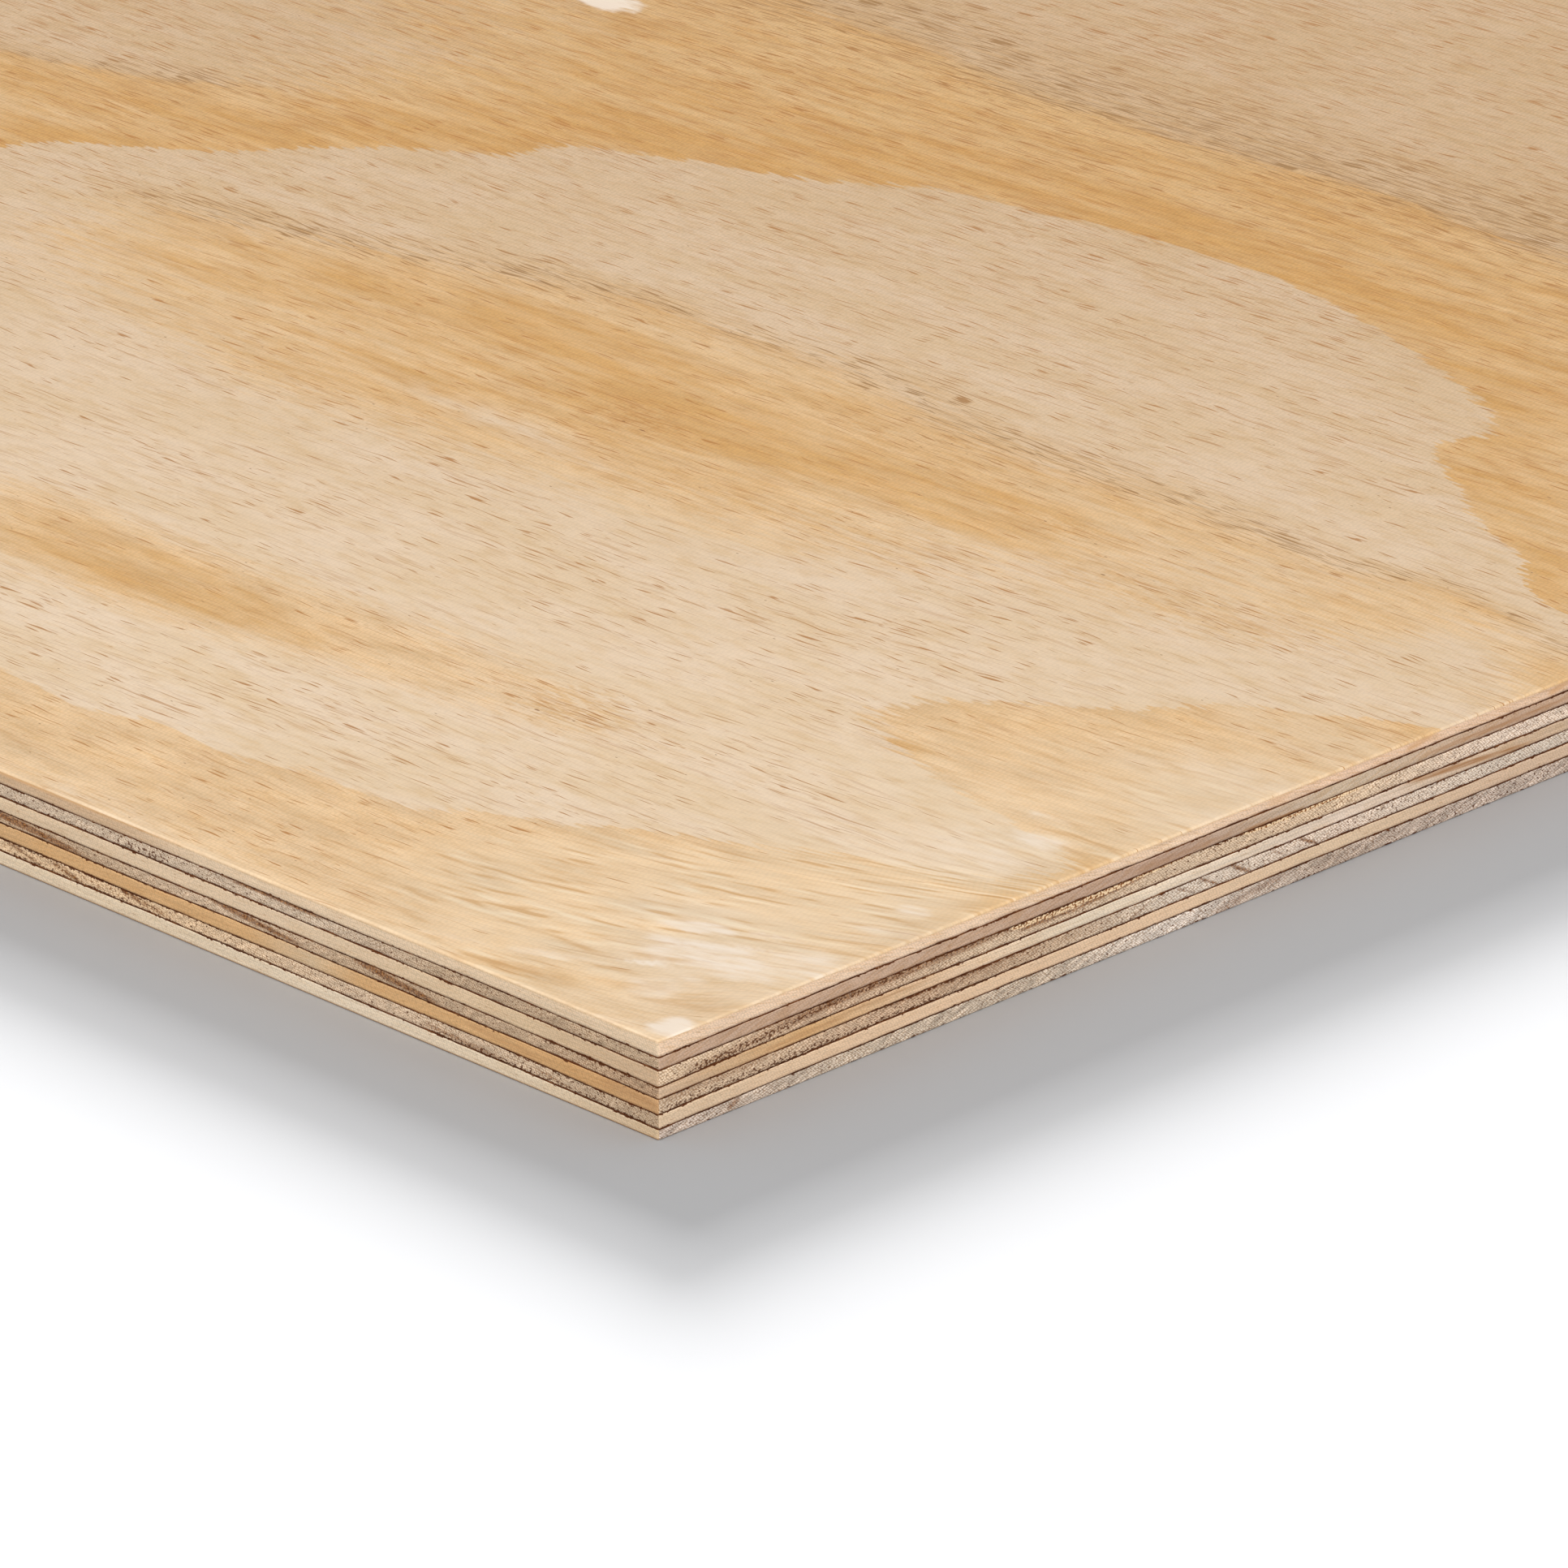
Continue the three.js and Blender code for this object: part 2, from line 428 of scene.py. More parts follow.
class Edge:
    """The stations round the sheet: place, outward direction and side of each."""

    def __init__(self):
        stations = []
        for number, (name, travel, outward) in enumerate(SIDES):
            travel, outward = np.array(travel, float), np.array(outward, float)
            reach, tone_and_painted_falloff = (HALF_LENGTH, HALF_WIDTH) if name in LONG_SIDES else (HALF_WIDTH, HALF_LENGTH)
            start = outward * tone_and_painted_falloff - travel * reach
            marks = straight_marks(2 * reach, SHOWN.get(name, 0))
            if name == "right":
                marks = 2 * reach - marks[::-1]
            first = start + (travel - outward) * CORNER_RADIUS
            last = start + travel * 2 * reach - (travel + outward) * CORNER_RADIUS
            found = eased(first, -travel, outward, 1, range(HALF_CORNER_STEPS))
            found += [(*(start + travel * mark), *outward) for mark in marks]
            found += eased(last, outward, travel, 0, range(1, HALF_CORNER_STEPS))
            stations += [(*station, number) for station in found]
        self.x, self.y, self.out_x, self.out_y, side = np.array(stations).T
        self.side = side.astype(int)
        self.count = len(self.x)
        self.end = HALF_LENGTH - self.x
        self.front = self.y + HALF_WIDTH
        self.along = self.x + self.y
        in_view = self.end + self.front < sum(SHOWN.values())
        self.fine = np.where(in_view, 1.0, COARSE_RELIEF)
        self.from_corner = HALF_LENGTH - np.abs(self.x) + (HALF_WIDTH - np.abs(self.y))

    def ring(self, inset, height):
        """One loop of points round the sheet, set in from the sawn outline."""
        inset = np.broadcast_to(inset, self.count)
        height = np.broadcast_to(height, self.count)
        return np.column_stack([self.x - self.out_x * inset, self.y - self.out_y * inset, height])


edge = Edge()


def side_mask(side):
    return edge.side == SIDE_NAMES.index(side)


def side_length(side):
    return LENGTH if side in LONG_SIDES else WIDTH


def side_distance(side):
    """Distance of a side's stations along it, from its end nearer the shown corner."""
    return (edge.end if side in LONG_SIDES else edge.front)[side_mask(side)]


def from_corner(points):
    """Distances of points from the end and from the front."""
    return HALF_LENGTH - points[:, 0], points[:, 1] + HALF_WIDTH


# ---------------- heights of the glue lines

# How far each glue line dips at the shown corner, in millimetres, from the lowest line up.
CORNER_DIPS = [0.78, 0.60, 0.63, 0.64, 0.47, 0.44]
DIP_REACH = 30.0
END_RISE = 0.33
END_RISE_AT = 200.0
END_RISE_FADES = (-600, -300)
LONG_WAVER, LONG_WAVER_HEIGHT = 28, 0.11
SHORT_WAVER, SHORT_WAVER_HEIGHT = 3.2, 0.035
LONG_SWELL, SHORT_SWELL = 9, 2
THINNED, SWELL_SHARE = 0.86, 0.5


def glue_limits():
    """The heights of each glue line's lower and upper side, at every station."""

    def round_edge(size, seed):
        return noise(edge.x, edge.y, size, size, seed)

    lows, highs = [], []
    dip = np.exp(-(edge.end + edge.front) / DIP_REACH)
    rise = END_RISE * np.clip(edge.front / END_RISE_AT, 0, 1) * side_mask("right")
    rise = rise * ramp(-edge.front, *END_RISE_FADES)
    for number, node in enumerate(GLUE_LINES):
        low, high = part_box(node)
        half = (high[2] - low[2]) / 2 / MM
        seed = SEED * 10 + number
        middle = (low[2] + high[2]) / 2 / MM - CORNER_DIPS[number] * dip + rise
        middle = middle + LONG_WAVER_HEIGHT * round_edge(LONG_WAVER, seed)
        middle = middle + SHORT_WAVER_HEIGHT * edge.fine * round_edge(SHORT_WAVER, seed + 20)
        swell = 0.5 * round_edge(LONG_SWELL, seed + 40) + 0.5 * round_edge(SHORT_SWELL, seed + 60)
        spread = half * (THINNED + SWELL_SHARE * swell)
        lows.append(middle - spread)
        highs.append(middle + spread)
    return lows, highs


glue_lows, glue_highs = glue_limits()

# ---------------- colours of the sawn edges


def linear(level):
    """One channel of a colour, from 0 to 255 as a picture editor gives it, made linear."""
    level = level / 255
    return level / 12.92 if level <= 0.04045 else ((level + 0.055) / 1.055) ** 2.4


def srgb(red, green, blue):
    return linear(red), linear(green), linear(blue)


CREAM = srgb(218, 193, 163)
PALE_CREAM = srgb(226, 206, 178)
IVORY = srgb(229, 211, 186)
BEIGE = srgb(210, 183, 149)
SHELL = srgb(229, 197, 164)
PEACH = srgb(233, 203, 174)
DUSKY_PEACH = srgb(231, 197, 168)
PINK_BEIGE = srgb(215, 185, 157)
FAWN = srgb(200, 170, 138)
TAN = srgb(206, 177, 148)
GOLD = srgb(211, 169, 120)
DEEP_GOLD = srgb(204, 160, 110)
MAUVE = srgb(194, 163, 139)
DARK_MAUVE = srgb(183, 154, 135)
ASH = srgb(202, 181, 157)
DRIFTWOOD = srgb(197, 179, 162)
SILVER = srgb(218, 202, 184)
UMBER = srgb(185, 160, 132)
DARK_UMBER = srgb(179, 148, 118)
HAZEL = srgb(203, 173, 144)
WHEAT = srgb(222, 195, 164)
OAT = srgb(213, 188, 160)
CHALK = srgb(227, 206, 186)
HONEY = srgb(196, 154, 110)
TAUPE = srgb(194, 168, 139)
STONE = srgb(203, 185, 170)
ASHEN = srgb(188, 169, 152)
PEARL = srgb(225, 211, 197)
SANDY = srgb(208, 190, 169)
APRICOT = srgb(228, 198, 162)

# For each veneer and shown side: (distance from the corner, colour), judged from the photo.
EDGE_COLOURS = {
    ("face_veneer", "front"): [(0, CREAM), (112, CREAM), (130, FAWN), (170, FAWN)],
    ("upper_crossband", "front"): [(0, UMBER), (50, UMBER), (80, ASH), (160, ASH)],
    ("upper_long_veneer", "front"): [(0, FAWN), (30, BEIGE), (90, CREAM)],
    ("centre_crossband", "front"): [(0, DARK_UMBER), (30, TAUPE), (75, TAUPE), (105, OAT), (140, TAUPE)],
    ("lower_long_veneer", "front"): [
        (0, HONEY), (20, DEEP_GOLD), (40, GOLD), (72, GOLD), (84, BEIGE), (100, GOLD), (150, GOLD),
    ],
    ("lower_crossband", "front"): [(0, UMBER), (35, OAT), (75, OAT), (120, APRICOT), (160, APRICOT)],
    ("back_veneer", "front"): [
        (0, BEIGE), (30, PALE_CREAM), (75, IVORY), (120, PALE_CREAM), (160, PALE_CREAM),
    ],
    ("face_veneer", "right"): [(0, PEACH), (125, PEACH), (165, DUSKY_PEACH)],
    ("upper_crossband", "right"): [(0, MAUVE), (80, MAUVE), (125, DARK_MAUVE), (165, ASH), (210, MAUVE)],
    ("upper_long_veneer", "right"): [
        (0, WHEAT), (40, HAZEL), (80, OAT), (130, OAT), (165, WHEAT), (205, CHALK),
    ],
    ("centre_crossband", "right"): [
        (0, TAN), (34, GOLD), (68, SHELL), (100, IVORY), (165, CHALK), (212, TAN),
    ],
    ("lower_long_veneer", "right"): [
        (0, OAT), (55, HAZEL), (95, OAT), (125, SILVER), (165, CHALK), (205, SILVER),
    ],
    ("lower_crossband", "right"): [
        (0, WHEAT), (45, SHELL), (125, SHELL), (165, WHEAT), (205, PINK_BEIGE),
    ],
    ("back_veneer", "right"): [
        (0, STONE), (45, SANDY), (90, SANDY), (122, PEARL), (160, ASHEN), (205, STONE),
    ],
}
SIDE_GRAIN_COLOURS = [CREAM, PALE_CREAM, BEIGE, PINK_BEIGE, PEACH, TAN, GOLD]
END_GRAIN_COLOURS = [ASH, UMBER, DRIFTWOOD, OAT, HAZEL]

# Marks in the sawn edges, for each veneer, shown side and kind: (start, height there, end, height
# there, half width, strength), with heights and widths as shares of the veneer. "Brown" is late
# wood or a stained streak, "gold" is bright resin-soaked wood, and "specks" are glue-filled pores.
EDGE_MARKS = {
    ("face_veneer", "front", "brown"): [(125, 0.8, 129, 0.95, 0.1, 0.8)],
    ("face_veneer", "front", "gold"): [(116, 0.95, 170, 0.72, 0.2, 0.75)],
    ("upper_crossband", "front", "brown"): [(104, 0.98, 80, 0.93, 0.17, 1.0)],
    ("upper_crossband", "front", "specks"): [
        (132, 0.3, 118, 0.3, 0.4, 0.8), (160, 0.1, 130, 0.1, 0.2, 0.6),
    ],
    ("centre_crossband", "front", "brown"): [
        (172, 1.0, 140, 0.12, 0.36, 1.0), (108, 0.98, 86, 0.2, 0.3, 1.0), (73, 0.95, 52, 0.1, 0.32, 1.0),
    ],
    ("centre_crossband", "front", "specks"): [
        (73, 0.75, 54, 0.05, 0.12, 0.7), (30, 0.98, 0, 0.95, 0.22, 0.7),
    ],
    ("lower_crossband", "front", "brown"): [
        (160, 0.9, 152, 0.2, 0.2, 0.8), (149, 0.8, 141, 0.1, 0.24, 1.0),
        (132, 0.95, 119, 0.25, 0.24, 1.0), (56, 0.4, 36, 0.12, 0.2, 0.6), (29, 0.6, 21, 0.2, 0.08, 0.8),
    ],
    ("lower_crossband", "front", "gold"): [(168, 0.5, 112, 0.5, 0.6, 0.34)],
    ("lower_crossband", "front", "specks"): [
        (168, 1.0, 108, 1.0, 0.18, 0.9), (168, 0.02, 112, 0.02, 0.14, 0.8), (34, 0.98, 0, 0.95, 0.2, 0.6),
        (54, 0.14, 0, 0.08, 0.22, 0.75),
    ],
    ("lower_long_veneer", "front", "brown"): [(46, 0.7, 28, 0.3, 0.3, 0.35), (14, 0.9, 0, 0.5, 0.3, 0.3)],
    ("face_veneer", "right", "gold"): [
        (146, 0.4, 152, 0.7, 0.3, 0.4), (181, 0.3, 188, 0.8, 0.28, 0.75),
        (218, 0.3, 225, 0.8, 0.28, 0.75),
    ],
    ("upper_crossband", "right", "brown"): [
        (112, 0.35, 140, 0.3, 0.3, 0.35), (140, 0.12, 156, 0.0, 0.16, 1.0),
        (186, 0.35, 226, 0.45, 0.2, 0.7),
    ],
    ("upper_crossband", "right", "specks"): [(54, 0.5, 116, 0.5, 0.4, 0.5)],
    ("upper_long_veneer", "right", "brown"): [
        (6, 0.25, 40, 0.65, 0.3, 0.4), (26, 0.76, 86, 0.88, 0.3, 0.75), (85, 0.56, 101, 0.46, 0.14, 1.0),
        (98, 0.46, 116, 0.84, 0.12, 1.0),
    ],
    ("upper_long_veneer", "right", "gold"): [
        (83, 0.92, 112, 0.9, 0.3, 1.0), (110, 0.95, 128, 1.0, 0.12, 0.7),
        (140, 0.92, 172, 1.0, 0.18, 1.0),
    ],
    ("upper_long_veneer", "right", "specks"): [
        (6, 0.2, 30, 0.38, 0.32, 1.0), (22, 0.5, 62, 0.92, 0.2, 0.95), (56, 1.0, 104, 1.0, 0.14, 1.0),
        (130, 0.96, 143, 0.96, 0.12, 0.9),
    ],
    ("centre_crossband", "right", "brown"): [
        (181, 1.0, 214, 0.1, 0.26, 1.0), (24, 0.35, 44, 0.45, 0.2, 0.45), (40, 0.7, 66, 0.75, 0.16, 0.45),
    ],
    ("lower_long_veneer", "right", "brown"): [
        (123, 1.0, 128, 0.1, 0.09, 0.7), (129, 1.0, 134, 0.0, 0.11, 1.0), (137, 1.0, 142, 0.0, 0.17, 1.0),
        (147, 1.0, 151, 0.1, 0.08, 0.7), (154, 1.0, 159, 0.0, 0.16, 1.0), (112, 0.1, 117, 0.8, 0.1, 0.8),
        (0, 0.85, 26, 0.85, 0.3, 0.4), (60, 0.72, 110, 0.7, 0.6, 0.28), (52, 0.95, 92, 0.9, 0.22, 0.6),
    ],
    ("lower_long_veneer", "right", "specks"): [
        (0, 0.2, 74, 0.12, 0.26, 0.8), (52, 1.0, 92, 0.98, 0.16, 1.0), (162, 0.8, 212, 0.5, 0.4, 0.2),
    ],
    ("back_veneer", "right", "brown"): [(132, 0.0, 152, 0.9, 0.3, 0.4), (16, 0.3, 19, 0.8, 0.3, 0.8)],
    ("back_veneer", "right", "specks"): [(190, 0.3, 226, 0.6, 0.5, 0.3)],
}
MARK_KINDS = ("brown", "gold", "specks")

# From here on the photo doesn't show a side, so its colours and marks are drawn at random.
UNSEEN_FROM = {"front": 175.0, "right": 235.0}
COLOUR_EVERY, COLOUR_SPACING = 170.0, (0.6, 1.4)
MARK_EVERY, MARK_SPACING = 80.0, (0.4, 1.8)
END_GRAIN_ODDS = (0.5, 0.1, 0.4)
SIDE_GRAIN_ODDS = (0.8, 0.2, 0.0)
MARK_RUN = (14, 46)
MARK_TOP, MARK_FOOT = (0.6, 1.0), (0.0, 0.4)
FALLING_MARKS = 0.4
MARK_STRENGTH = (0.4, 1.0)
MARK_HALF_WIDTH = (0.12, 0.3)

# A mark fades in and out along its run, and to its sides. It is widest just before its middle.
MARK_STARTS, MARK_STOPS, MARK_SIDES = (-0.1, 0.14), (0.8, 1.1), (0.4, 1.2)
MARK_SPREAD, MARK_TAPER, WIDEST_AT = 1.2, 0.7, 0.4
NARROWEST_MARK = 0.02


def shows_end_grain(grain, side):
    """A veneer shows end grain on the sides that its grain runs out of."""
    return (grain == "across") == (side in LONG_SIDES)


def drawn_places(side, every, spacing, rng):
    """Places at random distances along the stretch of a side that the photo doesn't show."""
    place = UNSEEN_FROM.get(side, 0.0)
    while place < side_length(side):
        place += every * rng.uniform(*spacing)
        yield place


def colour_stops(node, grain, side, rng):
    """Colours along one side: the photo's, then drawn ones where it can't show any."""
    stops = list(EDGE_COLOURS.get((node, side), []))
    palette = END_GRAIN_COLOURS if shows_end_grain(grain, side) else SIDE_GRAIN_COLOURS
    for place in drawn_places(side, COLOUR_EVERY, COLOUR_SPACING, rng):
        stops.append((place, palette[rng.integers(len(palette))]))
    return stops


def edge_colours(node, grain, rng):
    """One colour for every station."""
    colours = np.zeros((edge.count, 3))
    for side in SIDE_NAMES:
        places, found = zip(*colour_stops(node, grain, side, rng))
        for channel, values in enumerate(zip(*found)):
            colours[side_mask(side), channel] = np.interp(side_distance(side), places, values)
    return colours


def marks_on(node, grain, side, rng):
    """The marks along one side, by kind: the photo's, then drawn ones where it can't show any."""
    marks = {kind: list(EDGE_MARKS.get((node, side, kind), [])) for kind in MARK_KINDS}
    end_grain_shows = shows_end_grain(grain, side)
    odds = END_GRAIN_ODDS if end_grain_shows else SIDE_GRAIN_ODDS
    for place in drawn_places(side, MARK_EVERY, MARK_SPACING, rng):
        kind = MARK_KINDS[rng.choice(len(odds), p=odds)]
        end = place + rng.uniform(*MARK_RUN)
        start_height, end_height = rng.uniform(*MARK_TOP), rng.uniform(*MARK_FOOT)
        if rng.random() < FALLING_MARKS:
            start_height, end_height = end_height, start_height
        strength = rng.uniform(*MARK_STRENGTH) * (1.0 if end_grain_shows else 0.5)
        half = rng.uniform(*MARK_HALF_WIDTH)
        marks[kind].append((place, start_height, end, end_height, half, strength))
    return marks


def mark_strength(marks, distance, share):
    """How strongly marks of one kind show at distances along a side, at a share of its height."""
    total = np.zeros(len(distance))
    for start, start_height, stop, stop_height, half, strength in marks:
        run = (distance - start) / (stop - start)
        inside = ramp(run, *MARK_STARTS) * (1 - ramp(run, *MARK_STOPS))
        middle = start_height + (stop_height - start_height) * np.clip(run, 0, 1)
        reach = half * (MARK_SPREAD - MARK_TAPER * np.abs(run - WIDEST_AT))
        near = 1 - ramp(np.abs(share - middle) / np.maximum(reach, NARROWEST_MARK), *MARK_SIDES)
        total = np.maximum(total, strength * inside * near)
    return total


# ---------------- meshes

# Places in a veneer's list of materials. Hidden sides and glue lines take the first of their piece.
SIDE_GRAIN, END_GRAIN, SANDED = 0, 1, 2
MERGE_GAP = 1e-6
THINNEST_TURN = 1e-9


def triangulate(outline, inner):
    """Triangles between an outline and the points inside it, as numbers into both lists joined."""
    every = np.vstack([outline, inner])
    count = len(outline)
    rim = [(i, (i + 1) % count) for i in range(count)]
    made = delaunay_2d_cdt([Vector(place) for place in every], rim, [], 1, MERGE_GAP)
    if len(made[0]) != len(every):
        raise RuntimeError("the triangulation merged or added points")
    origin = [sources[0] for sources in made[3]]
    faces = np.array([[origin[i] for i in face] for face in made[2]])
    a, b, c = every[faces[:, 0]], every[faces[:, 1]], every[faces[:, 2]]
    turn = (b[:, 0] - a[:, 0]) * (c[:, 1] - a[:, 1]) - (b[:, 1] - a[:, 1]) * (c[:, 0] - a[:, 0])
    faces[turn < 0] = faces[turn < 0][:, ::-1]
    return faces[np.abs(turn) > THINNEST_TURN]


def spaced(low, high, step):
    return np.linspace(low, high, max(1, int(round((high - low) / step))) + 1)


def even_grid(step, margin):
    xs = spaced(margin - HALF_LENGTH, HALF_LENGTH - margin, step)
    ys = spaced(margin - HALF_WIDTH, HALF_WIDTH - margin, step)
    x, y = np.meshgrid(xs, ys)
    return np.column_stack([x.ravel(), y.ravel()])


# The flat sides that another layer covers all share these points and triangles.
hidden_grid = even_grid(step=61.0, margin=24.0)
hidden_faces = triangulate(np.column_stack([edge.x, edge.y]), hidden_grid)


class Shell:
    """A closed mesh under way: rings of points from the bottom up, and faces with their finish."""

    def __init__(self):
        self.points, self.faces, self.finishes, self.smooth = [], [], [], []
        self.values = {}
        self.size = 0
        self.rings = []

    def add_points(self, points, values):
        """Adds points and gives their numbers. Values are the attributes that the materials read."""
        count = len(points)
        for name in {**self.values, **values}:
            given = np.asarray(values.get(name, 0.0), float)
            if name not in self.values:
                self.values[name] = [np.zeros((self.size, 3 if given.ndim == 2 else 1))]
            width = self.values[name][0].shape[1]
            given = given[:, None] if given.ndim == 1 else given
            self.values[name].append(np.broadcast_to(given, (count, width)))
        self.points.append(points)
        self.size += count
        return np.arange(self.size - count, self.size)

    def add_ring(self, inset, height, **values):
        self.rings.append(self.add_points(edge.ring(inset, height), values))

    def add_faces(self, faces, finish, smooth=True):
        self.faces.append(faces)
        self.finishes.append(np.broadcast_to(finish, len(faces)))
        self.smooth.append(np.full(len(faces), smooth))

    def join(self, finishes):
        """Bands of squares between the rings, facing outward, with a finish for each band."""
        after = np.roll(np.arange(edge.count), -1)
        for lower, upper, finish in zip(self.rings, self.rings[1:], finishes):
            self.add_faces(np.column_stack([lower, upper, upper[after], lower[after]]), finish)

    def close(self, inner, triangles, top, finish, values, smooth=True):
        """The top or the underside, from its ring to the points inside it."""
        numbers = np.concatenate([self.rings[-1 if top else 0], self.add_points(inner, values)])
        faces = numbers[triangles]
        self.add_faces(faces if top else faces[:, ::-1], finish, smooth)

    def cover(self, node, top):
        """A flat side that another layer covers, at the node's own height."""
        low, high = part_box(node)
        heights = np.full(len(hidden_grid), (high if top else low)[2] / MM)
        inner = np.column_stack([hidden_grid, heights])
        self.close(inner, hidden_faces, top, SIDE_GRAIN, {}, smooth=False)

    def cover_both(self, node):
        self.cover(node, top=False)
        self.cover(node, top=True)

    def build(self, name, materials):
        """The piece itself, at the origin, with its place in its mesh."""
        mesh = bpy.data.meshes.new(name)
        sizes = np.concatenate([np.full(len(faces), faces.shape[1]) for faces in self.faces])
        corners = np.concatenate([faces.ravel() for faces in self.faces])
        mesh.vertices.add(self.size)
        mesh.vertices.foreach_set("co", (np.vstack(self.points) * MM).ravel())
        mesh.loops.add(len(corners))
        mesh.loops.foreach_set("vertex_index", corners)
        mesh.polygons.add(len(sizes))
        mesh.polygons.foreach_set("loop_start", np.concatenate([[0], np.cumsum(sizes)[:-1]]))
        mesh.polygons.foreach_set("material_index", np.concatenate(self.finishes))
        mesh.polygons.foreach_set("use_smooth", np.concatenate(self.smooth))
        mesh.update(calc_edges=True)
        for label, parts in self.values.items():
            data = np.vstack(parts)
            kind, field = ("FLOAT", "value") if data.shape[1] == 1 else ("FLOAT_VECTOR", "vector")
            mesh.attributes.new(label, kind, "POINT").data.foreach_set(field, data.ravel())
        for material in materials:
            mesh.materials.append(material)
        mesh.validate()
        return new_object(name, mesh)


# ---------------- the sawn edges

EDGE_ROWS = 8
ROUGH_END = 0.17
ROUGH_SIDE = 0.035
KERF = 0.02
# Length along the edge and height of the saw's marks.
PITS, TEARS, FIBRES = (1.1, 0.7), (3.4, 1.2), (26, 0.5)
TORN = (0.2, 0.9)
LIPS = (0.36, 0.5)
GLUE_INSET = 0.07
GLUE_WAVER = 0.03
GLUE_HOLLOW = 0.04


def edge_inset(grain, height, share, seed):
    """How far the saw left each place inside the outline: end grain is torn deeper."""

    def teeth(size, number):
        return noise(edge.along, height, *size, seed + number)

    lips = ramp(np.abs(share - 0.5), *LIPS)
    pits = 0.5 + 0.5 * teeth(PITS, 0)
    tears = ramp(teeth(TEARS, 1), *TORN)
    fibres = 0.5 + 0.5 * teeth(FIBRES, 2)
    rough = ROUGH_END * (0.45 * pits + 0.55 * tears + 0.35 * lips) * edge.fine
    smooth = ROUGH_SIDE * (fibres + 0.6 * lips)
    return KERF + np.where(finish_of_sides(grain) == END_GRAIN, rough, smooth)


def finish_of_sides(grain):
    """The finish of the sawn edge at each station."""
    finishes = [END_GRAIN if shows_end_grain(grain, side) else SIDE_GRAIN for side in SIDE_NAMES]
    return np.array(finishes)[edge.side]


class Veneer(Shell):
    """A veneer under way. Looks gives the attributes of its sanded side, for an outer veneer."""

    def __init__(self, number, looks=None):
        super().__init__()
        self.number, self.looks = number, looks
        self.node, self.grain = VENEERS[number]
        self.finish = finish_of_sides(self.grain)
        rng = np.random.default_rng(SEED * 100 + number)
        self.colours = edge_colours(self.node, self.grain, rng)
        self.marks = {side: marks_on(self.node, self.grain, side, rng) for side in SIDE_NAMES}
        self.low = glue_highs[number - 1] if number else np.zeros(edge.count)
        self.high = glue_lows[number] if number < len(GLUE_LINES) else np.full(edge.count, THICKNESS)

    def add_edge_ring(self, inset, height, share, **values):
        """A ring of the sawn edge, at a share of the veneer's height."""
        marks = np.zeros((edge.count, 3))
        for side in SIDE_NAMES:
            for column, kind in enumerate(MARK_KINDS):
                found = mark_strength(self.marks[side][kind], side_distance(side), share)
                marks[side_mask(side), column] = found
        if self.looks:
            values.update(self.looks(*from_corner(edge.ring(inset, height))))
        self.add_ring(inset, height, ply_colour=self.colours, rise=share, marks=marks, **values)

    def saw(self, rows, bottom, top, relief=lambda share: 1.0, reach=1.0):
        """Rings up the sawn edge to a share of its height. Relief fades towards an eased arris."""
        for row in range(rows):
            share = row / (rows - 1)
            height = bottom + (top - bottom) * share
            torn = edge_inset(self.grain, height, share, SEED * 7 + self.number * 5)
            inset = torn * relief(share) + KERF * (1 - relief(share))
            self.add_edge_ring(inset, height, share * reach)

    def sand(self, inset, grid, heights, top):
        """The sanded side, with its points at the given heights."""
        triangles = triangulate(edge.ring(inset, 0.0)[:, :2], grid)
        values = self.looks(*from_corner(grid))
        values.update(ply_colour=np.tile(CREAM, (len(grid), 1)), rise=float(top))
        self.close(np.column_stack([grid, heights]), triangles, top, SANDED, values)


def build_core_veneer(number, materials):
    """A veneer inside the sheet: its sawn edge, and two sides that its neighbours cover."""
    veneer = Veneer(number)
    veneer.saw(EDGE_ROWS + 1, veneer.low, veneer.high)
    veneer.join([veneer.finish] * EDGE_ROWS)
    veneer.cover_both(veneer.node)
    return veneer.build(f"{veneer.node}_grained", materials)


def build_glue_line(number, materials):
    """A glue line, set in a little from the veneers that it joins."""
    node = GLUE_LINES[number]
    low, high = glue_lows[number], glue_highs[number]
    layer = Shell()
    for share in (0.0, 0.5, 1.0):
        height = low + (high - low) * share
        inset = GLUE_INSET + GLUE_WAVER * noise(edge.along, height, 4, 1, SEED * 3 + number)
        inset = inset + GLUE_HOLLOW * (1 - abs(2 * share - 1))
        layer.add_ring(inset, height, rise=share)
    layer.join([SIDE_GRAIN] * 2)
    layer.cover_both(node)
    return layer.build(f"{node}_resin", materials)


# ---------------- the two outer veneers

# Step of each zone of points, and how far from the end and from the front the zone reaches.
FACE_ZONES = [(1.0, 66, 94), (3.0, 486, 430), (12.0, LENGTH, WIDTH)]
FACE_MARGIN = 2.2
FACE_ARRIS_STEPS = 5
BACK_ARRIS_STEPS = 3
ARRIS_WANDER = 0.14
CORNER_REACH = 14
CURL_RELIEF, CURL_STROKE = 0.12, (15, 2.0)
GRAIN_RELIEF, GRAIN_SWELL = 0.03, (40, 6)
RIM_SETTLES = (2, 7)

# The face veneer's edge is sawn up to this share of its height, and its arris takes up the rest.
# The arris has a painted highlight, a paler colour laid over it: how strongly on the right side, and where
# it meets the face.
SAWN_SHARE = 0.8
ARRIS_HIGHLIGHT_RIGHT = 0.2
ARRIS_HIGHLIGHT_AT_FACE = 0.4

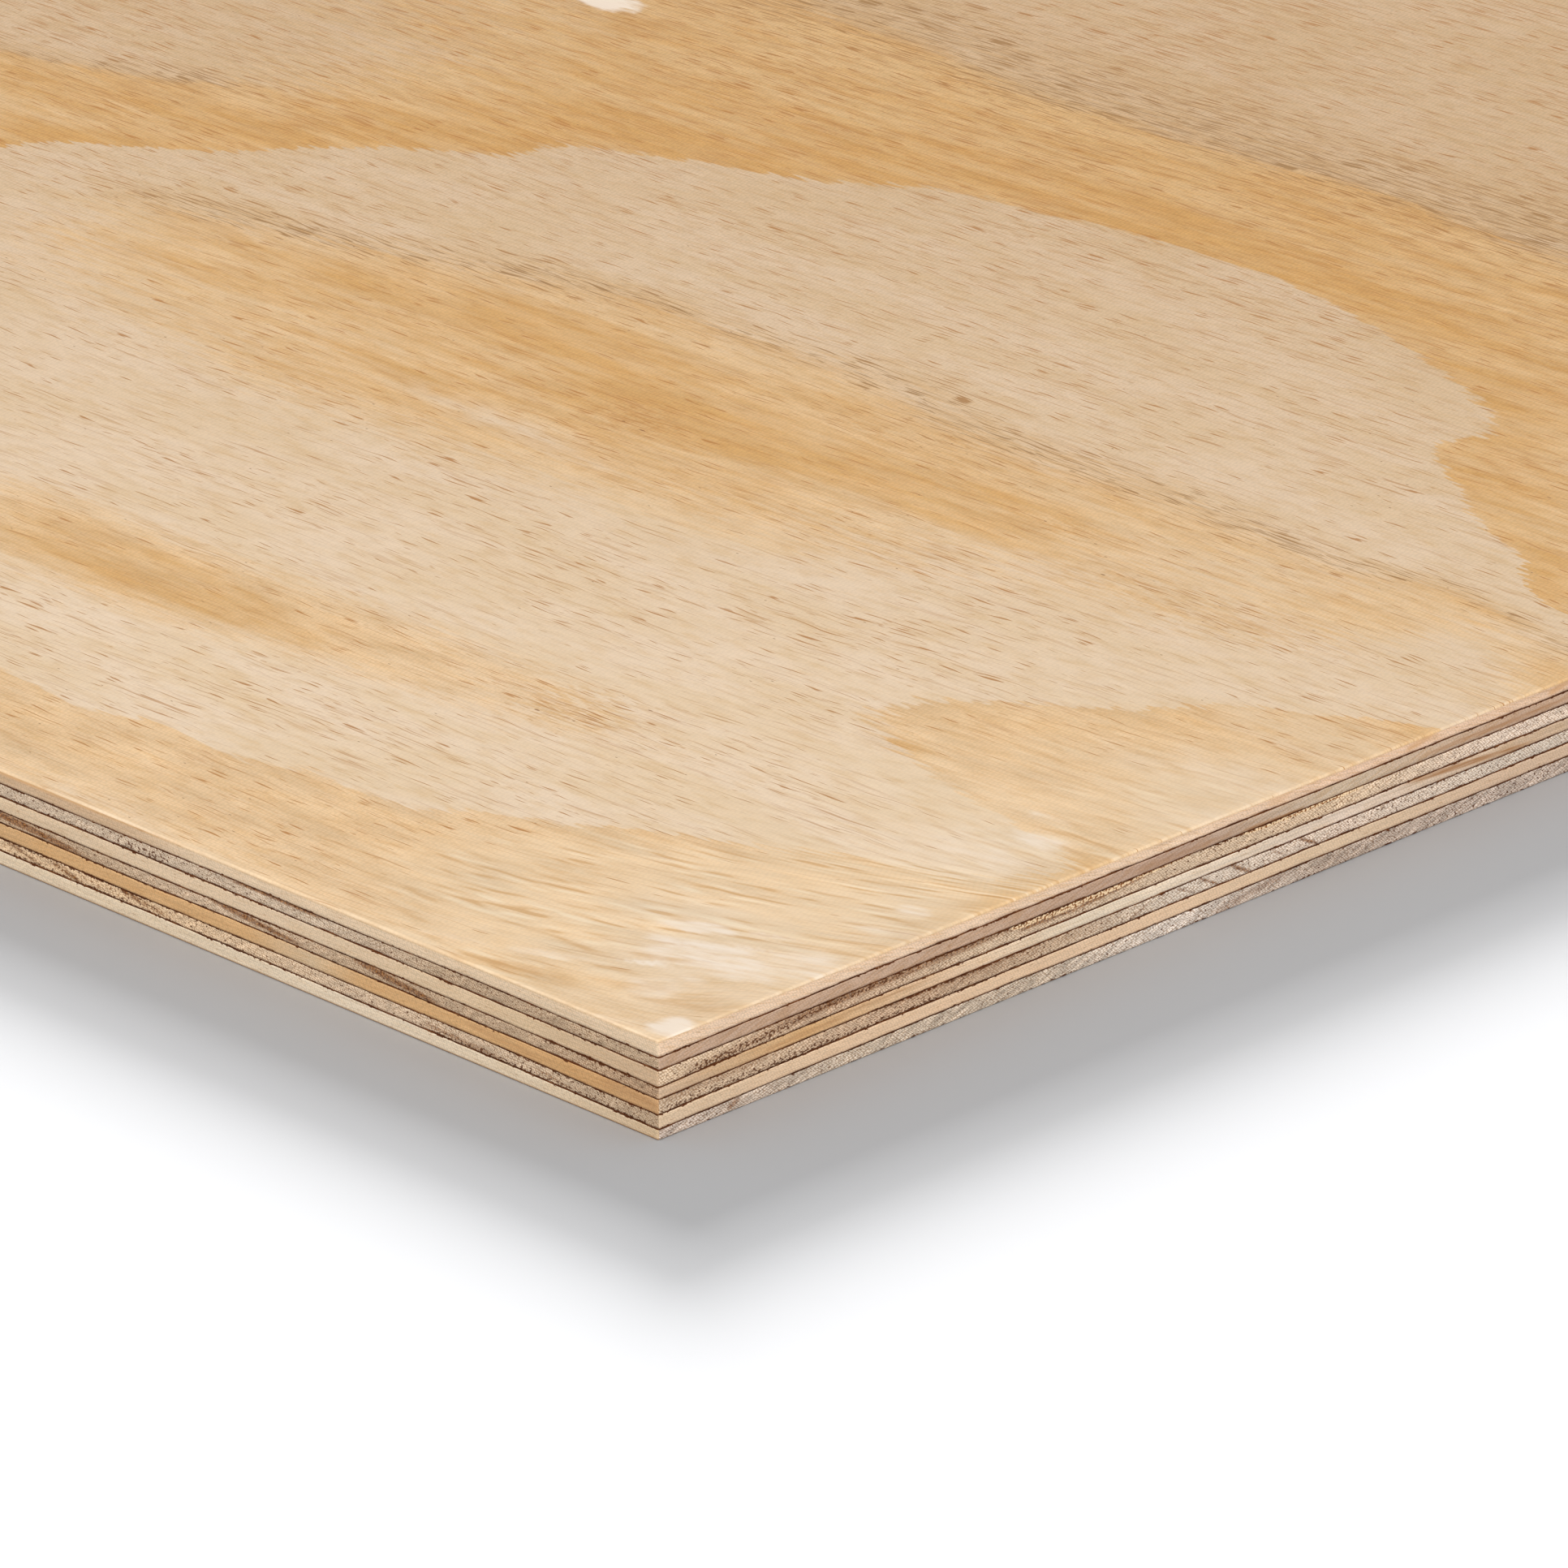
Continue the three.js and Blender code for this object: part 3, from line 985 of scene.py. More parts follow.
# Spots on the face: (from the end, from the front, half length, half width, turn in degrees,
# strength). "Bleach" is filler and raised, light-scattering fibres, "stain" wood mottled with
# brown, and "washed" late wood that is nearly as pale as early wood.
SPOTS = {
    "bleach": [
        (378, 356, 9.5, 4.6, 0, 1.6), (2.0, 6.0, 5.8, 5.2, 20, 1.15), (17, 30, 21.0, 12.0, 14, 0.62),
        (17, 15, 7.0, 8.0, 20, 0.42), (6, 38, 14.0, 9.0, 14, 0.5), (22, 22.5, 9.0, 1.3, 34, 0.8),
        (20, 34.5, 14.0, 1.4, 34, 0.8), (28, 38, 10.0, 3.6, 26, 0.78), (12, 30, 9.0, 1.2, 34, 0.74),
        (16, 44, 12.0, 1.8, 24, 0.55), (8, 68, 5.0, 4.0, 0, 0.5), (19, 96, 20, 12, 10, 0.38),
        (14, 105, 11, 4, 12, 0.6), (20, 113, 7, 3.0, 12, 0.5), (38, 12, 14, 2.0, 22, 0.45),
        (52, 6, 12, 1.8, 16, 0.4), (6, 58, 9, 3.0, 30, 0.45), (222, 176, 30, 4.4, -2, 0.27),
    ],
    "stain": [
        (62, 38, 11, 9, 15, 0.9), (112, 90, 16, 11, 0, 1.0), (70, 200, 44, 11, 0, 0.6),
        (112, 213, 10, 5, 0, 1.0), (204, 195, 15, 8, 0, 0.9), (170, 222, 13, 4, 0, 0.8),
        (38, 5, 12, 4, 10, 0.7), (8, 16, 7, 9, 20, 0.6), (292, 372, 14, 5, 0, 0.9),
        (70, 290, 16, 12, 0, 0.4),
    ],
    "washed": [
        (4, 140, 30, 24, 0, 0.85), (6, 30, 34, 34, 10, 0.5), (26, 40, 28, 12, 10, 0.85),
        (8, 66, 18, 14, 0, 0.6), (14, 172, 26, 12, 0, 0.6), (30, 116, 14, 5, 8, 0.4),
        (222, 176, 34, 4.6, -2, 0.8),
    ],
}

# Wood of a deeper orange.
DEEPER = [
    (0, 70, 7, 28, 0, 0.45), (2, 98, 8, 13, 0, 0.5), (36, 4, 18, 5, 8, 0.4), (4, 15, 9, 8, 0, 0.4),
    (62, 117, 9, 3, 5, 0.5), (215, 78, 60, 12, 2, 0.35), (205, 196, 40, 12, 4, 0.25),
]

SPOT_WOBBLE, SPOT_WOBBLE_SIZE = 0.2, (6, 3)
SPOT_FADES = (0.35, 1.15)

# Painted falloff of light: the face darkens by so much a millimetre from the end and from the front, past
# this level.
PAINTED_FALLOFF_BY_END, PAINTED_FALLOFF_BY_FRONT = 0.0011, 0.0030
PAINTED_FALLOFF_FROM = 0.40
FAR_DEPTH_FROM = 700
FAR_DEPTH, FAR_DEPTH_SIZE = 0.6, (700, 260)
BACK_DEPTH, BACK_DEPTH_SIZE = 0.75, (600, 240)
DEPTH_SWING = 0.3
SMOKE_GROWS, SMOKE_WIDENS = (120, 190), (300, 370)
SMOKE_FALL, FAR_SMOKE_FALL = (0.002, 0.012), (0.0, 0.003)
SMOKE_ENDS = (0.76, 0.90)
SMOKE_REACH = 3.0
SLOPE_REACH = 2.0


def face_grid():
    """Points over the face, closer together where the photo looks, and closest at the curl."""
    found = []
    inner_end, inner_front = 0.0, 0.0
    for step, reach_end, reach_front in FACE_ZONES:
        ends = np.arange(FACE_MARGIN, min(reach_end, LENGTH - FACE_MARGIN), step)
        fronts = np.arange(FACE_MARGIN, min(reach_front, WIDTH - FACE_MARGIN), step)
        end, front = (values.ravel() for values in np.meshgrid(ends, fronts))
        new = (end > inner_end) | (front > inner_front)
        found.append(np.column_stack([HALF_LENGTH - end[new], front[new] - HALF_WIDTH]))
        inner_end, inner_front = reach_end + step / 3, reach_front + step / 3
    return np.vstack(found)


def placed(places, end, front, seed):
    """How strongly listed spots of one kind show at each place of the face."""
    total = np.zeros(np.shape(end))
    wobble = SPOT_WOBBLE * noise(end, front, *SPOT_WOBBLE_SIZE, seed)
    for spot_end, spot_front, half_length, half_width, turn, strength in places:
        cosine, sine = math.cos(math.radians(turn)), math.sin(math.radians(turn))
        ahead, aside = spot_end - end, front - spot_front
        along = (ahead * cosine + aside * sine) / half_length
        across = (aside * cosine - ahead * sine) / half_width
        share = 1 - ramp(np.hypot(along, across) + wobble, *SPOT_FADES)
        total = np.maximum(total, strength * share)
    return total


def face_tone_and_painted_falloff(end, front):
    """How dark the face's tone is: a painted falloff of light, lightest at the shown corner and darker
    from there on, that gives way to a random tone farther out, with darker spots of wood added.
    """
    near = PAINTED_FALLOFF_BY_END * end + PAINTED_FALLOFF_BY_FRONT * front - PAINTED_FALLOFF_FROM
    broad = FAR_DEPTH + DEPTH_SWING * noise(end, front, *FAR_DEPTH_SIZE, SEED + 95)
    share = ramp(from_figure(end, front), FIGURE_REACH, FAR_DEPTH_FROM)
    tone = np.clip(near, 0, 1) * (1 - share) + np.clip(broad, 0, 1) * share
    return tone + placed(DEEPER, end, front, SEED + 96)


def back_depth(end, front):
    return np.clip(BACK_DEPTH + DEPTH_SWING * noise(end, front, *BACK_DEPTH_SIZE, SEED + 97), 0, 1)


def ring_slope(rings, end, front, curled):
    """Change of ring phase for each millimetre along the fibres, towards the shown end."""
    _, share = curl_bend(end, front)
    rise = rise_at(front) * (1 - np.tanh(end / RISE_REACH) ** 2) + CURL_RISE * share * curled
    ahead = rings(end - SLOPE_REACH, front + SLOPE_REACH * rise)
    behind = rings(end + SLOPE_REACH, front - SLOPE_REACH * rise)
    return (ahead - behind) / (2 * SLOPE_REACH)


def smoky(rings, end, front):
    """Grey-brown bands of fine lines, where the ring phase falls as the front gets farther away."""
    fall = (rings(end, front - SMOKE_REACH) - rings(end, front + SMOKE_REACH)) / (2 * SMOKE_REACH)
    phase = rings(end, front) % 1.0
    far = ramp(front, *SMOKE_WIDENS)
    band = ramp(phase, 0.36 - 0.16 * far, 0.50 - 0.06 * far) * (1 - ramp(phase, *SMOKE_ENDS))
    falling = np.maximum(ramp(fall, *SMOKE_FALL), far * ramp(fall, *FAR_SMOKE_FALL))
    return band * falling * ramp(front, *SMOKE_GROWS)


def sanded_values(rings, tone_and_painted_falloff, shown, end, front, seed):
    """The attributes of a sanded side. "Shown" is true for the face, with its curl and spots."""
    values = {
        "ring": rings(end, front),
        "ring_slope": ring_slope(rings, end, front, shown),
        "across": across_grain(end, front, seed, curled=shown),
        "tone_and_painted_falloff": tone_and_painted_falloff(end, front),
        "curl": curl_share(end, front) * shown,
        "smoke": smoky(rings, end, front),
    }
    for number, (name, places) in enumerate(SPOTS.items()):
        values[name] = placed(places, end, front, SEED + 90 + number) * shown
    return values


def face_looks(end, front):
    return sanded_values(face_rings, face_tone_and_painted_falloff, True, end, front, SEED + 50)


def back_looks(end, front):
    return sanded_values(back_rings, back_depth, False, end, front, SEED + 60)


def face_arris_radius():
    """The sanded arris: tight at the corners, and a little uneven along the sides."""
    wander = 1 + ARRIS_WANDER * noise(edge.x, edge.y, 60, 60, SEED + 30)
    eased_out = ramp(edge.from_corner, 0, CORNER_REACH)
    return CORNER_ARRIS + (FACE_ARRIS * wander - CORNER_ARRIS) * eased_out


def face_heights(grid):
    """The face's relief: strokes that follow the curl, and a faint swell, settling at the rim."""
    end, front = from_corner(grid)
    across = across_grain(end, front, SEED + 50, curled=True)
    strokes = noise(-end, across, *CURL_STROKE, SEED + 71)
    drop = CURL_RELIEF * curl_share(end, front) * (0.5 - 0.5 * strokes)
    drop = drop + GRAIN_RELIEF * (0.5 + 0.5 * noise(end, front, *GRAIN_SWELL, SEED + 72))
    from_rim = np.minimum.reduce([end, front, LENGTH - end, WIDTH - front])
    return THICKNESS - drop * ramp(from_rim, *RIM_SETTLES)


def build_face_veneer(materials):
    veneer = Veneer(len(VENEERS) - 1, face_looks)
    radius = face_arris_radius()
    top = veneer.high - radius
    veneer.saw(EDGE_ROWS - 1, veneer.low, top, lambda share: 1 - ramp(share, 0.7, 1.0), SAWN_SHARE)
    for step in range(1, FACE_ARRIS_STEPS + 1):
        angle = math.pi / 2 * step / FACE_ARRIS_STEPS
        inset = KERF + (radius - KERF) * (1 - math.cos(angle))
        share = SAWN_SHARE + (1 - SAWN_SHARE) * step / FACE_ARRIS_STEPS
        # A painted highlight along the arris, weaker on the right side and where it meets the face.
        worn = np.where(side_mask("right"), ARRIS_HIGHLIGHT_RIGHT, 1.0)
        worn = worn * (1.0 if step < FACE_ARRIS_STEPS else ARRIS_HIGHLIGHT_AT_FACE)
        veneer.add_edge_ring(inset, top + radius * math.sin(angle), share, worn=worn)
    veneer.join([veneer.finish] * (EDGE_ROWS - 2) + [SANDED] * FACE_ARRIS_STEPS)
    veneer.cover(FACE, top=False)
    grid = face_grid()
    veneer.sand(radius, grid, face_heights(grid), top=True)
    return veneer.build(f"{FACE}_sanded", materials)


def build_back_veneer(materials):
    veneer = Veneer(0, back_looks)
    for step in range(BACK_ARRIS_STEPS):
        angle = math.pi / 2 * step / BACK_ARRIS_STEPS
        inset = KERF + (BACK_ARRIS - KERF) * (1 - math.sin(angle))
        veneer.add_edge_ring(inset, BACK_ARRIS * (1 - math.cos(angle)), 0.0)
    veneer.saw(EDGE_ROWS, BACK_ARRIS, veneer.high, lambda share: ramp(share, 0.0, 0.3))
    veneer.join([veneer.finish] * (BACK_ARRIS_STEPS + EDGE_ROWS - 1))
    veneer.cover(BACK, top=True)
    grid = even_grid(step=15.0, margin=6.0)
    veneer.sand(BACK_ARRIS, grid, np.zeros(len(grid)), top=False)
    return veneer.build(f"{BACK}_sanded", materials)


# ---------------- material nodes
#
# In the finishes below, noise and cells take the length and width of a cell in millimetres and a
# seed. A ramp takes where it starts and ends, and then its two results, or else gives 0 and 1.


class Nodes:
    """A node tree under way, with short names for the nodes that are needed here."""

    def __init__(self, tree):
        self.tree = tree
        tree.nodes.clear()

    def feed(self, socket, value):
        """Links a socket, or sets a number, a vector or a colour."""
        if isinstance(value, bpy.types.NodeSocket):
            self.tree.links.new(value, socket)
        else:
            socket.default_value = (*value, 1.0) if socket.type == "RGBA" else value

    def node(self, kind, inputs=(), **settings):
        """A new node with its settings, and inputs by their names or numbers."""
        made = self.tree.nodes.new(kind)
        for key, value in settings.items():
            setattr(made, key, value)
        for key, value in dict(inputs).items():
            self.feed(made.inputs[key], value)
        return made

    def math(self, operation, *values):
        return self.node("ShaderNodeMath", enumerate(values), operation=operation).outputs["Value"]

    def chain(self, operation, total, *others):
        for other in others:
            total = self.math(operation, total, other)
        return total

    def plus(self, *values):
        return self.chain("ADD", *values)

    def times(self, *values):
        return self.chain("MULTIPLY", *values)

    def greater(self, *values):
        return self.chain("MAXIMUM", *values)

    def times_plus(self, first, second, third):
        return self.math("MULTIPLY_ADD", first, second, third)

    def inverse(self, value):
        return self.math("SUBTRACT", 1.0, value)

    def ramp(self, value, low, high, bottom=0.0, top=1.0):
        """From bottom to top, eased, as the value goes from low to high."""
        names = ("Value", "From Min", "From Max", "To Min", "To Max")
        inputs = zip(names, (value, low, high, bottom, top))
        made = self.node("ShaderNodeMapRange", inputs, interpolation_type="SMOOTHSTEP", clamp=True)
        return made.outputs["Result"]

    def mix(self, share, first, second, how="MIX"):
        made = self.node("ShaderNodeMix", {0: share}, data_type="RGBA", blend_type=how)
        colours = [socket for socket in made.inputs if socket.type == "RGBA"]
        for socket, value in zip(colours, (first, second)):
            self.feed(socket, value)
        return next(socket for socket in made.outputs if socket.type == "RGBA")


class Finish(Nodes):
    """A material under way, with its colour so far."""

    def __init__(self, name):
        self.material = bpy.data.materials.new(name)
        self.material.use_nodes = True
        super().__init__(self.material.node_tree)
        self.colour = None

    def parts(self, vector):
        return self.node("ShaderNodeSeparateXYZ", {0: vector}).outputs[:]

    def place(self):
        """The place on the sheet, as x, y and z in millimetres."""
        inputs = {0: self.node("ShaderNodeTexCoord").outputs["Object"], "Scale": 1 / MM}
        return self.parts(self.node("ShaderNodeVectorMath", inputs, operation="SCALE").outputs["Vector"])

    def attribute(self, name):
        return self.node("ShaderNodeAttribute", attribute_name=name).outputs["Fac"]

    def vector_attribute(self, name):
        return self.node("ShaderNodeAttribute", attribute_name=name).outputs["Vector"]

    def paint(self, share, colour):
        """Lays a colour over the present one, as far as the share says."""
        self.colour = self.mix(share, self.colour, colour)

    def tint(self, share, tint):
        """Multiplies the colour by a tint, as far as the share says."""
        self.colour = self.mix(share, self.colour, tint, how="MULTIPLY")

    def shade(self, factor):
        """Makes the colour lighter or darker by a factor."""
        inputs = {0: self.colour, "Scale": factor}
        self.colour = self.node("ShaderNodeVectorMath", inputs, operation="SCALE").outputs["Vector"]

    def surface(self, roughness, relief, relief_height, specular):
        """The finished material. Relief has a height in millimetres."""
        inputs = {"Strength": 1.0, "Distance": relief_height * MM, "Height": relief}
        normal = self.node("ShaderNodeBump", inputs).outputs["Normal"]
        inputs = {"Base Color": self.colour, "Roughness": roughness, "Normal": normal}
        inputs["Specular IOR Level"] = specular
        return self.output(self.node("ShaderNodeBsdfPrincipled", inputs))

    def output(self, shader):
        """Makes a shader node the material's surface."""
        self.node("ShaderNodeOutputMaterial", {"Surface": shader.outputs["BSDF"]})
        return self.material


class Grain:
    """Noise over two coordinates in millimetres: along the grain or an edge, and across it."""

    def __init__(self, finish, along, across):
        self.finish, self.along, self.across = finish, along, across

    def place(self, length, width, seed):
        """Coordinates in which one unit is length along and width across."""
        f = self.finish
        along = f.times_plus(self.along, 1 / length, seed * 7.31)
        across = f.times_plus(self.across, 1 / width, seed * 3.17)
        return f.node("ShaderNodeCombineXYZ", {"X": along, "Y": across}).outputs["Vector"]

    def noise(self, length, width, seed, detail=0.0, roughness=0.5):
        inputs = {"Vector": self.place(length, width, seed), "Scale": 1.0}
        inputs.update({"Detail": detail, "Roughness": roughness})
        return self.finish.node("ShaderNodeTexNoise", inputs, noise_dimensions="2D").outputs["Fac"]

    def swing(self, length, width, seed, amount, detail=0.0, roughness=0.5):
        """Noise about zero, as wide as the amount."""
        f = self.finish
        return f.times(f.plus(self.noise(length, width, seed, detail, roughness), -0.5), amount)

    def cells(self, length, width, seed, randomness):
        inputs = {"Vector": self.place(length, width, seed), "Scale": 1.0, "Randomness": randomness}
        settings = {"voronoi_dimensions": "2D", "feature": "F1"}
        return self.finish.node("ShaderNodeTexVoronoi", inputs, **settings).outputs["Distance"]

    def leaning(self, angle):
        """The same grain in axes that lean by an angle in degrees."""
        f = self.finish
        cosine, sine = math.cos(math.radians(angle)), math.sin(math.radians(angle))
        along = f.times_plus(self.along, cosine, f.times(self.across, sine))
        return Grain(f, along, f.times_plus(self.along, -sine, f.times(self.across, cosine)))


# ---------------- the sanded face

PALE = srgb(231, 207, 179)
PALE_WARM = srgb(227, 201, 168)
# Tint of the pale wood where its tone is deeper and where the falloff of light is painted.
PALE_DEEPENED_AND_DIMMED = (0.78, 0.705, 0.61)
ORANGE = srgb(229, 197, 157)
ORANGE_RIPE = srgb(215, 171, 112)
# Tint of the orange wood where its tone is deeper and where the falloff of light is painted.
ORANGE_DEEPENED_AND_DIMMED = (0.86, 0.785, 0.625)
CURLED = srgb(242, 218, 184)
BLEACHED = srgb(245, 229, 211)
PAINTED_ARRIS_HIGHLIGHT = srgb(238, 214, 182)
DASH = srgb(176, 123, 68)
DASH_IN_ORANGE = srgb(182, 124, 62)
# Painted highlight along the face's arris.
DASH_IN_SMOKE = srgb(158, 118, 70)
SPECK = srgb(136, 88, 46)
# Painted highlight on the crests of the curl's strokes, and painted shade along their dark sides.
PAINTED_RIDGE_HIGHLIGHT = srgb(250, 232, 202)
PAINTED_STROKE_SHADE = srgb(196, 148, 92)
DARK_FIBRE = (0.91, 0.84, 0.74)
LIGHT_FIBRE = (1.05, 1.06, 1.07)
MOTTLE = (0.93, 0.88, 0.79)
SMOKE = (0.93, 0.85, 0.72)
STAIN = (0.92, 0.83, 0.68)
# Painted shade in the grooves of the curl's strokes.
PAINTED_GROOVE_SHADE = (0.88, 0.79, 0.66)


def ring_turn(f, grain, curl):
    """The part of a ring that each place is in. Its steps are toothed along the fibres."""
    teeth = f.times(grain.swing(7.0, 0.9, 3, 1.0), f.times_plus(curl, 12.0, 6.0))
    teeth = f.plus(teeth, grain.swing(1.8, 0.5, 5, 2.0))
    wander = f.plus(grain.swing(14, 1.6, 9, 0.030), grain.swing(4, 0.7, 10, 0.014))
    ring = f.times_plus(f.attribute("ring_slope"), teeth, f.attribute("ring"))
    return f.math("FRACT", f.plus(ring, wander))


def late_wood(f, grain, turn, smoke=0.0, washed=0.0):
    """How far each place is into a ring's late wood: a slow, streaky start, and a crisp end."""
    streak = f.plus(grain.swing(60, 3.4, 11, 0.24, detail=3.0), grain.swing(16, 1.1, 12, 0.24, detail=3.0))
    blotted = f.plus(streak, grain.swing(4.5, 0.9, 14, 0.20, detail=2.0))
    slow = f.ramp(f.plus(turn, blotted), 0.40, 0.74)
    quick = f.ramp(f.times_plus(streak, 0.25, turn), 0.53, 0.60)
    start = f.plus(f.times(slow, f.inverse(smoke)), f.times(quick, smoke))
    worn_away = f.times(washed, f.ramp(grain.noise(14, 3.0, 13, detail=3.0), 0.25, 0.60, 0.45, 1.0))
    return f.times(start, f.inverse(worn_away), f.ramp(turn, 1.0, 0.988))


def dashes(f, grain, crowd):
    """The short brown lines of the grain. Crowd says where there are more of them."""
    bent = Grain(f, grain.along, f.plus(grain.across, grain.swing(10, 5, 20, 1.1)))
    crowd = f.plus(crowd, grain.swing(60, 18, 25, 0.23, detail=2.0))
    faint = f.ramp(f.plus(bent.noise(22, 0.6, 21), f.times(crowd, 0.6)), 0.68, 0.82, 0.0, 0.24)
    short = f.ramp(f.plus(bent.noise(9, 0.50, 22), crowd), 0.785, 0.85, 0.0, 0.90)
    tiny = f.ramp(f.plus(bent.noise(4, 0.42, 26), crowd), 0.82, 0.89, 0.0, 0.5)
    long = f.ramp(f.plus(bent.noise(40, 0.5, 23), f.times(crowd, 0.8)), 0.75, 0.83)
    broken = f.ramp(bent.noise(8, 2.0, 24), 0.40, 0.64, 0.0, 0.6)
    return f.greater(faint, short, tiny, f.times(long, broken))


def curl_painted_light_and_shade(f, grain, curl):
    """Draws the strokes of curled grain on paler curled wood, each with a painted highlight on one side
    and painted shade on the other.
    """
    f.paint(f.times(curl, 0.35), CURLED)
    strokes = grain.noise(13, 3.0, 36, detail=1.2)
    beside = Grain(f, grain.along, f.plus(grain.across, 0.65)).noise(13, 3.0, 36, detail=1.2)
    # Lit is the strokes' slope across the grain: it places painted shade in the grooves and along each
    # stroke's dark side, and a painted highlight on the crests.
    lit = f.plus(strokes, f.times(beside, -1.0))
    kept = f.times(curl, f.ramp(grain.noise(16, 9, 37), 0.32, 0.58, 0.10, 0.85))
    f.tint(f.times(kept, f.ramp(lit, -0.01, -0.14)), PAINTED_GROOVE_SHADE)
    f.paint(f.times(kept, f.ramp(lit, 0.02, 0.18, 0.0, 0.55)), PAINTED_RIDGE_HIGHLIGHT)
    f.shade(f.times_plus(curl, grain.swing(22, 7, 46, 0.30, detail=2.0), 1.0))
    f.paint(f.times(kept, f.ramp(lit, -0.09, -0.15, 0.0, 0.45)), PAINTED_STROKE_SHADE)
    return strokes


def sanded_wood(name):
    """The sanded outer side of a veneer."""
    f = Finish(name)
    x, _, _ = f.place()
    across = f.attribute("across")
    grain = Grain(f, x, across)
    tone_and_painted_falloff, curl, smoke, stain = map(f.attribute, ("tone_and_painted_falloff", "curl", "smoke", "stain"))
    deep_and_painted_dim = f.ramp(tone_and_painted_falloff, 0.45, 1.0)
    turn = ring_turn(f, grain, curl)
    crisp = f.times(smoke, f.ramp(tone_and_painted_falloff, 0.55, 0.90, 0.30, 1.0))
    late = late_wood(f, grain, turn, crisp, f.attribute("washed"))

    # the pale early wood and the orange late wood, both darker away from the shown corner: a painted
    # falloff of light near it, a random tone farther out
    clouds = grain.noise(46, 12, 31, detail=3.0)
    mottle = grain.noise(30, 3.4, 32, detail=5.0, roughness=0.65)
    drift = grain.noise(110, 10, 42, detail=2.0)
    pale = f.mix(f.ramp(clouds, 0.35, 0.65), PALE, PALE_WARM)
    pale = f.mix(tone_and_painted_falloff, pale, PALE_DEEPENED_AND_DIMMED, how="MULTIPLY")
    ripe = f.plus(f.ramp(turn, 0.58, 0.93, 0.0, 0.54), f.ramp(mottle, 0.38, 0.68, 0.0, 0.5))
    ripe = f.plus(ripe, f.ramp(drift, 0.35, 0.65, -0.25, 0.25))
    orange = f.mix(f.times(ripe, f.ramp(tone_and_painted_falloff, 0.0, 0.5, 0.30, 1.0)), ORANGE, ORANGE_RIPE)
    orange = f.mix(tone_and_painted_falloff, orange, ORANGE_DEEPENED_AND_DIMMED, how="MULTIPLY")
    f.colour = f.mix(late, pale, orange)

    # fibres, mottling and clouds, and the fine weave that sanding leaves
    fibres = grain.noise(20, 0.46, 33, detail=4.0, roughness=0.66)
    seen = f.times_plus(deep_and_painted_dim, 0.30, f.ramp(late, 0.0, 1.0, 0.42, 0.78))
    f.tint(f.times(seen, f.ramp(fibres, 0.56, 0.26)), DARK_FIBRE)
    f.tint(f.times(seen, f.ramp(fibres, 0.50, 0.74)), LIGHT_FIBRE)
    flowed = grain.noise(9, 2.0, 43, detail=4.0, roughness=0.6)
    f.tint(f.ramp(flowed, 0.44, 0.72, 0.0, 0.90), MOTTLE)
    uneven = grain.swing(5, 1.8, 44, 0.13, detail=3.0, roughness=0.6)
    f.shade(f.times_plus(uneven, f.ramp(tone_and_painted_falloff, 0.45, 1.0, 1.0, 1.6), 1.014))
    cloudy = f.times(late, f.ramp(tone_and_painted_falloff, 0.0, 0.6, 2.0, 0.9))
    f.shade(f.times_plus(cloudy, grain.swing(20, 6, 45, 0.18, detail=3.0), 1.0))
    slanted = Grain(f, f.times_plus(across, 0.3, x), across)
    weave = f.ramp(slanted.cells(0.95, 0.62, 34, 0.4), 0.1, 0.65, 0.5, -0.5)
    strength = f.ramp(f.greater(f.times(late, 0.6), tone_and_painted_falloff), 0.0, 1.0, 0.060, 0.145)
    f.shade(f.times_plus(weave, strength, 1.0))

    # smoky bands, stains, and curled grain with painted highlights and shade on its strokes
    smoked = f.times(smoke, f.ramp(turn, 0.66, 0.54, 0.25, 1.0))
    lines = f.ramp(grain.noise(24, 0.5, 39, detail=3.0), 0.40, 0.66, 0.15, 1.0)
    f.tint(f.times(smoked, lines), SMOKE)
    f.tint(f.times(stain, f.ramp(grain.noise(4.5, 0.9, 40, detail=3.0), 0.42, 0.62)), STAIN)
    strokes = curl_painted_light_and_shade(f, grain, curl)

    # dashes and specks
    crowd = f.plus(f.times(smoked, 0.10), f.times(stain, 0.04), f.ramp(curl, 0.0, 0.5, 0.0, -0.10))
    brown = dashes(f, grain, f.times_plus(deep_and_painted_dim, 0.05, crowd))
    f.paint(brown, f.mix(smoked, f.mix(late, DASH, DASH_IN_ORANGE), DASH_IN_SMOKE))
    speck_crowd = f.times(f.plus(stain, f.times(curl, -1.0)), 0.10)
    specks = f.ramp(f.plus(grain.noise(2.8, 0.9, 27), speck_crowd), 0.965, 0.985, 0.0, 0.8)
    f.paint(specks, SPECK)

    # bleached spots, and the painted highlight along the arris
    ragged = f.times(f.attribute("bleach"), f.plus(grain.swing(8, 1.9, 41, 1.9, detail=4.0), 1.0))
    f.paint(f.ramp(ragged, 0.16, 0.96, 0.0, 0.86), BLEACHED)
    f.paint(f.times(f.attribute("worn"), 0.32), PAINTED_ARRIS_HIGHLIGHT)

    relief = f.plus(f.times(fibres, 0.6), f.times(strokes, curl, 1.4), f.times(brown, -0.3))
    return f.surface(f.ramp(fibres, 0.2, 0.8, 0.52, 0.68), relief, 0.03, specular=0.22)


# ---------------- side grain and end grain

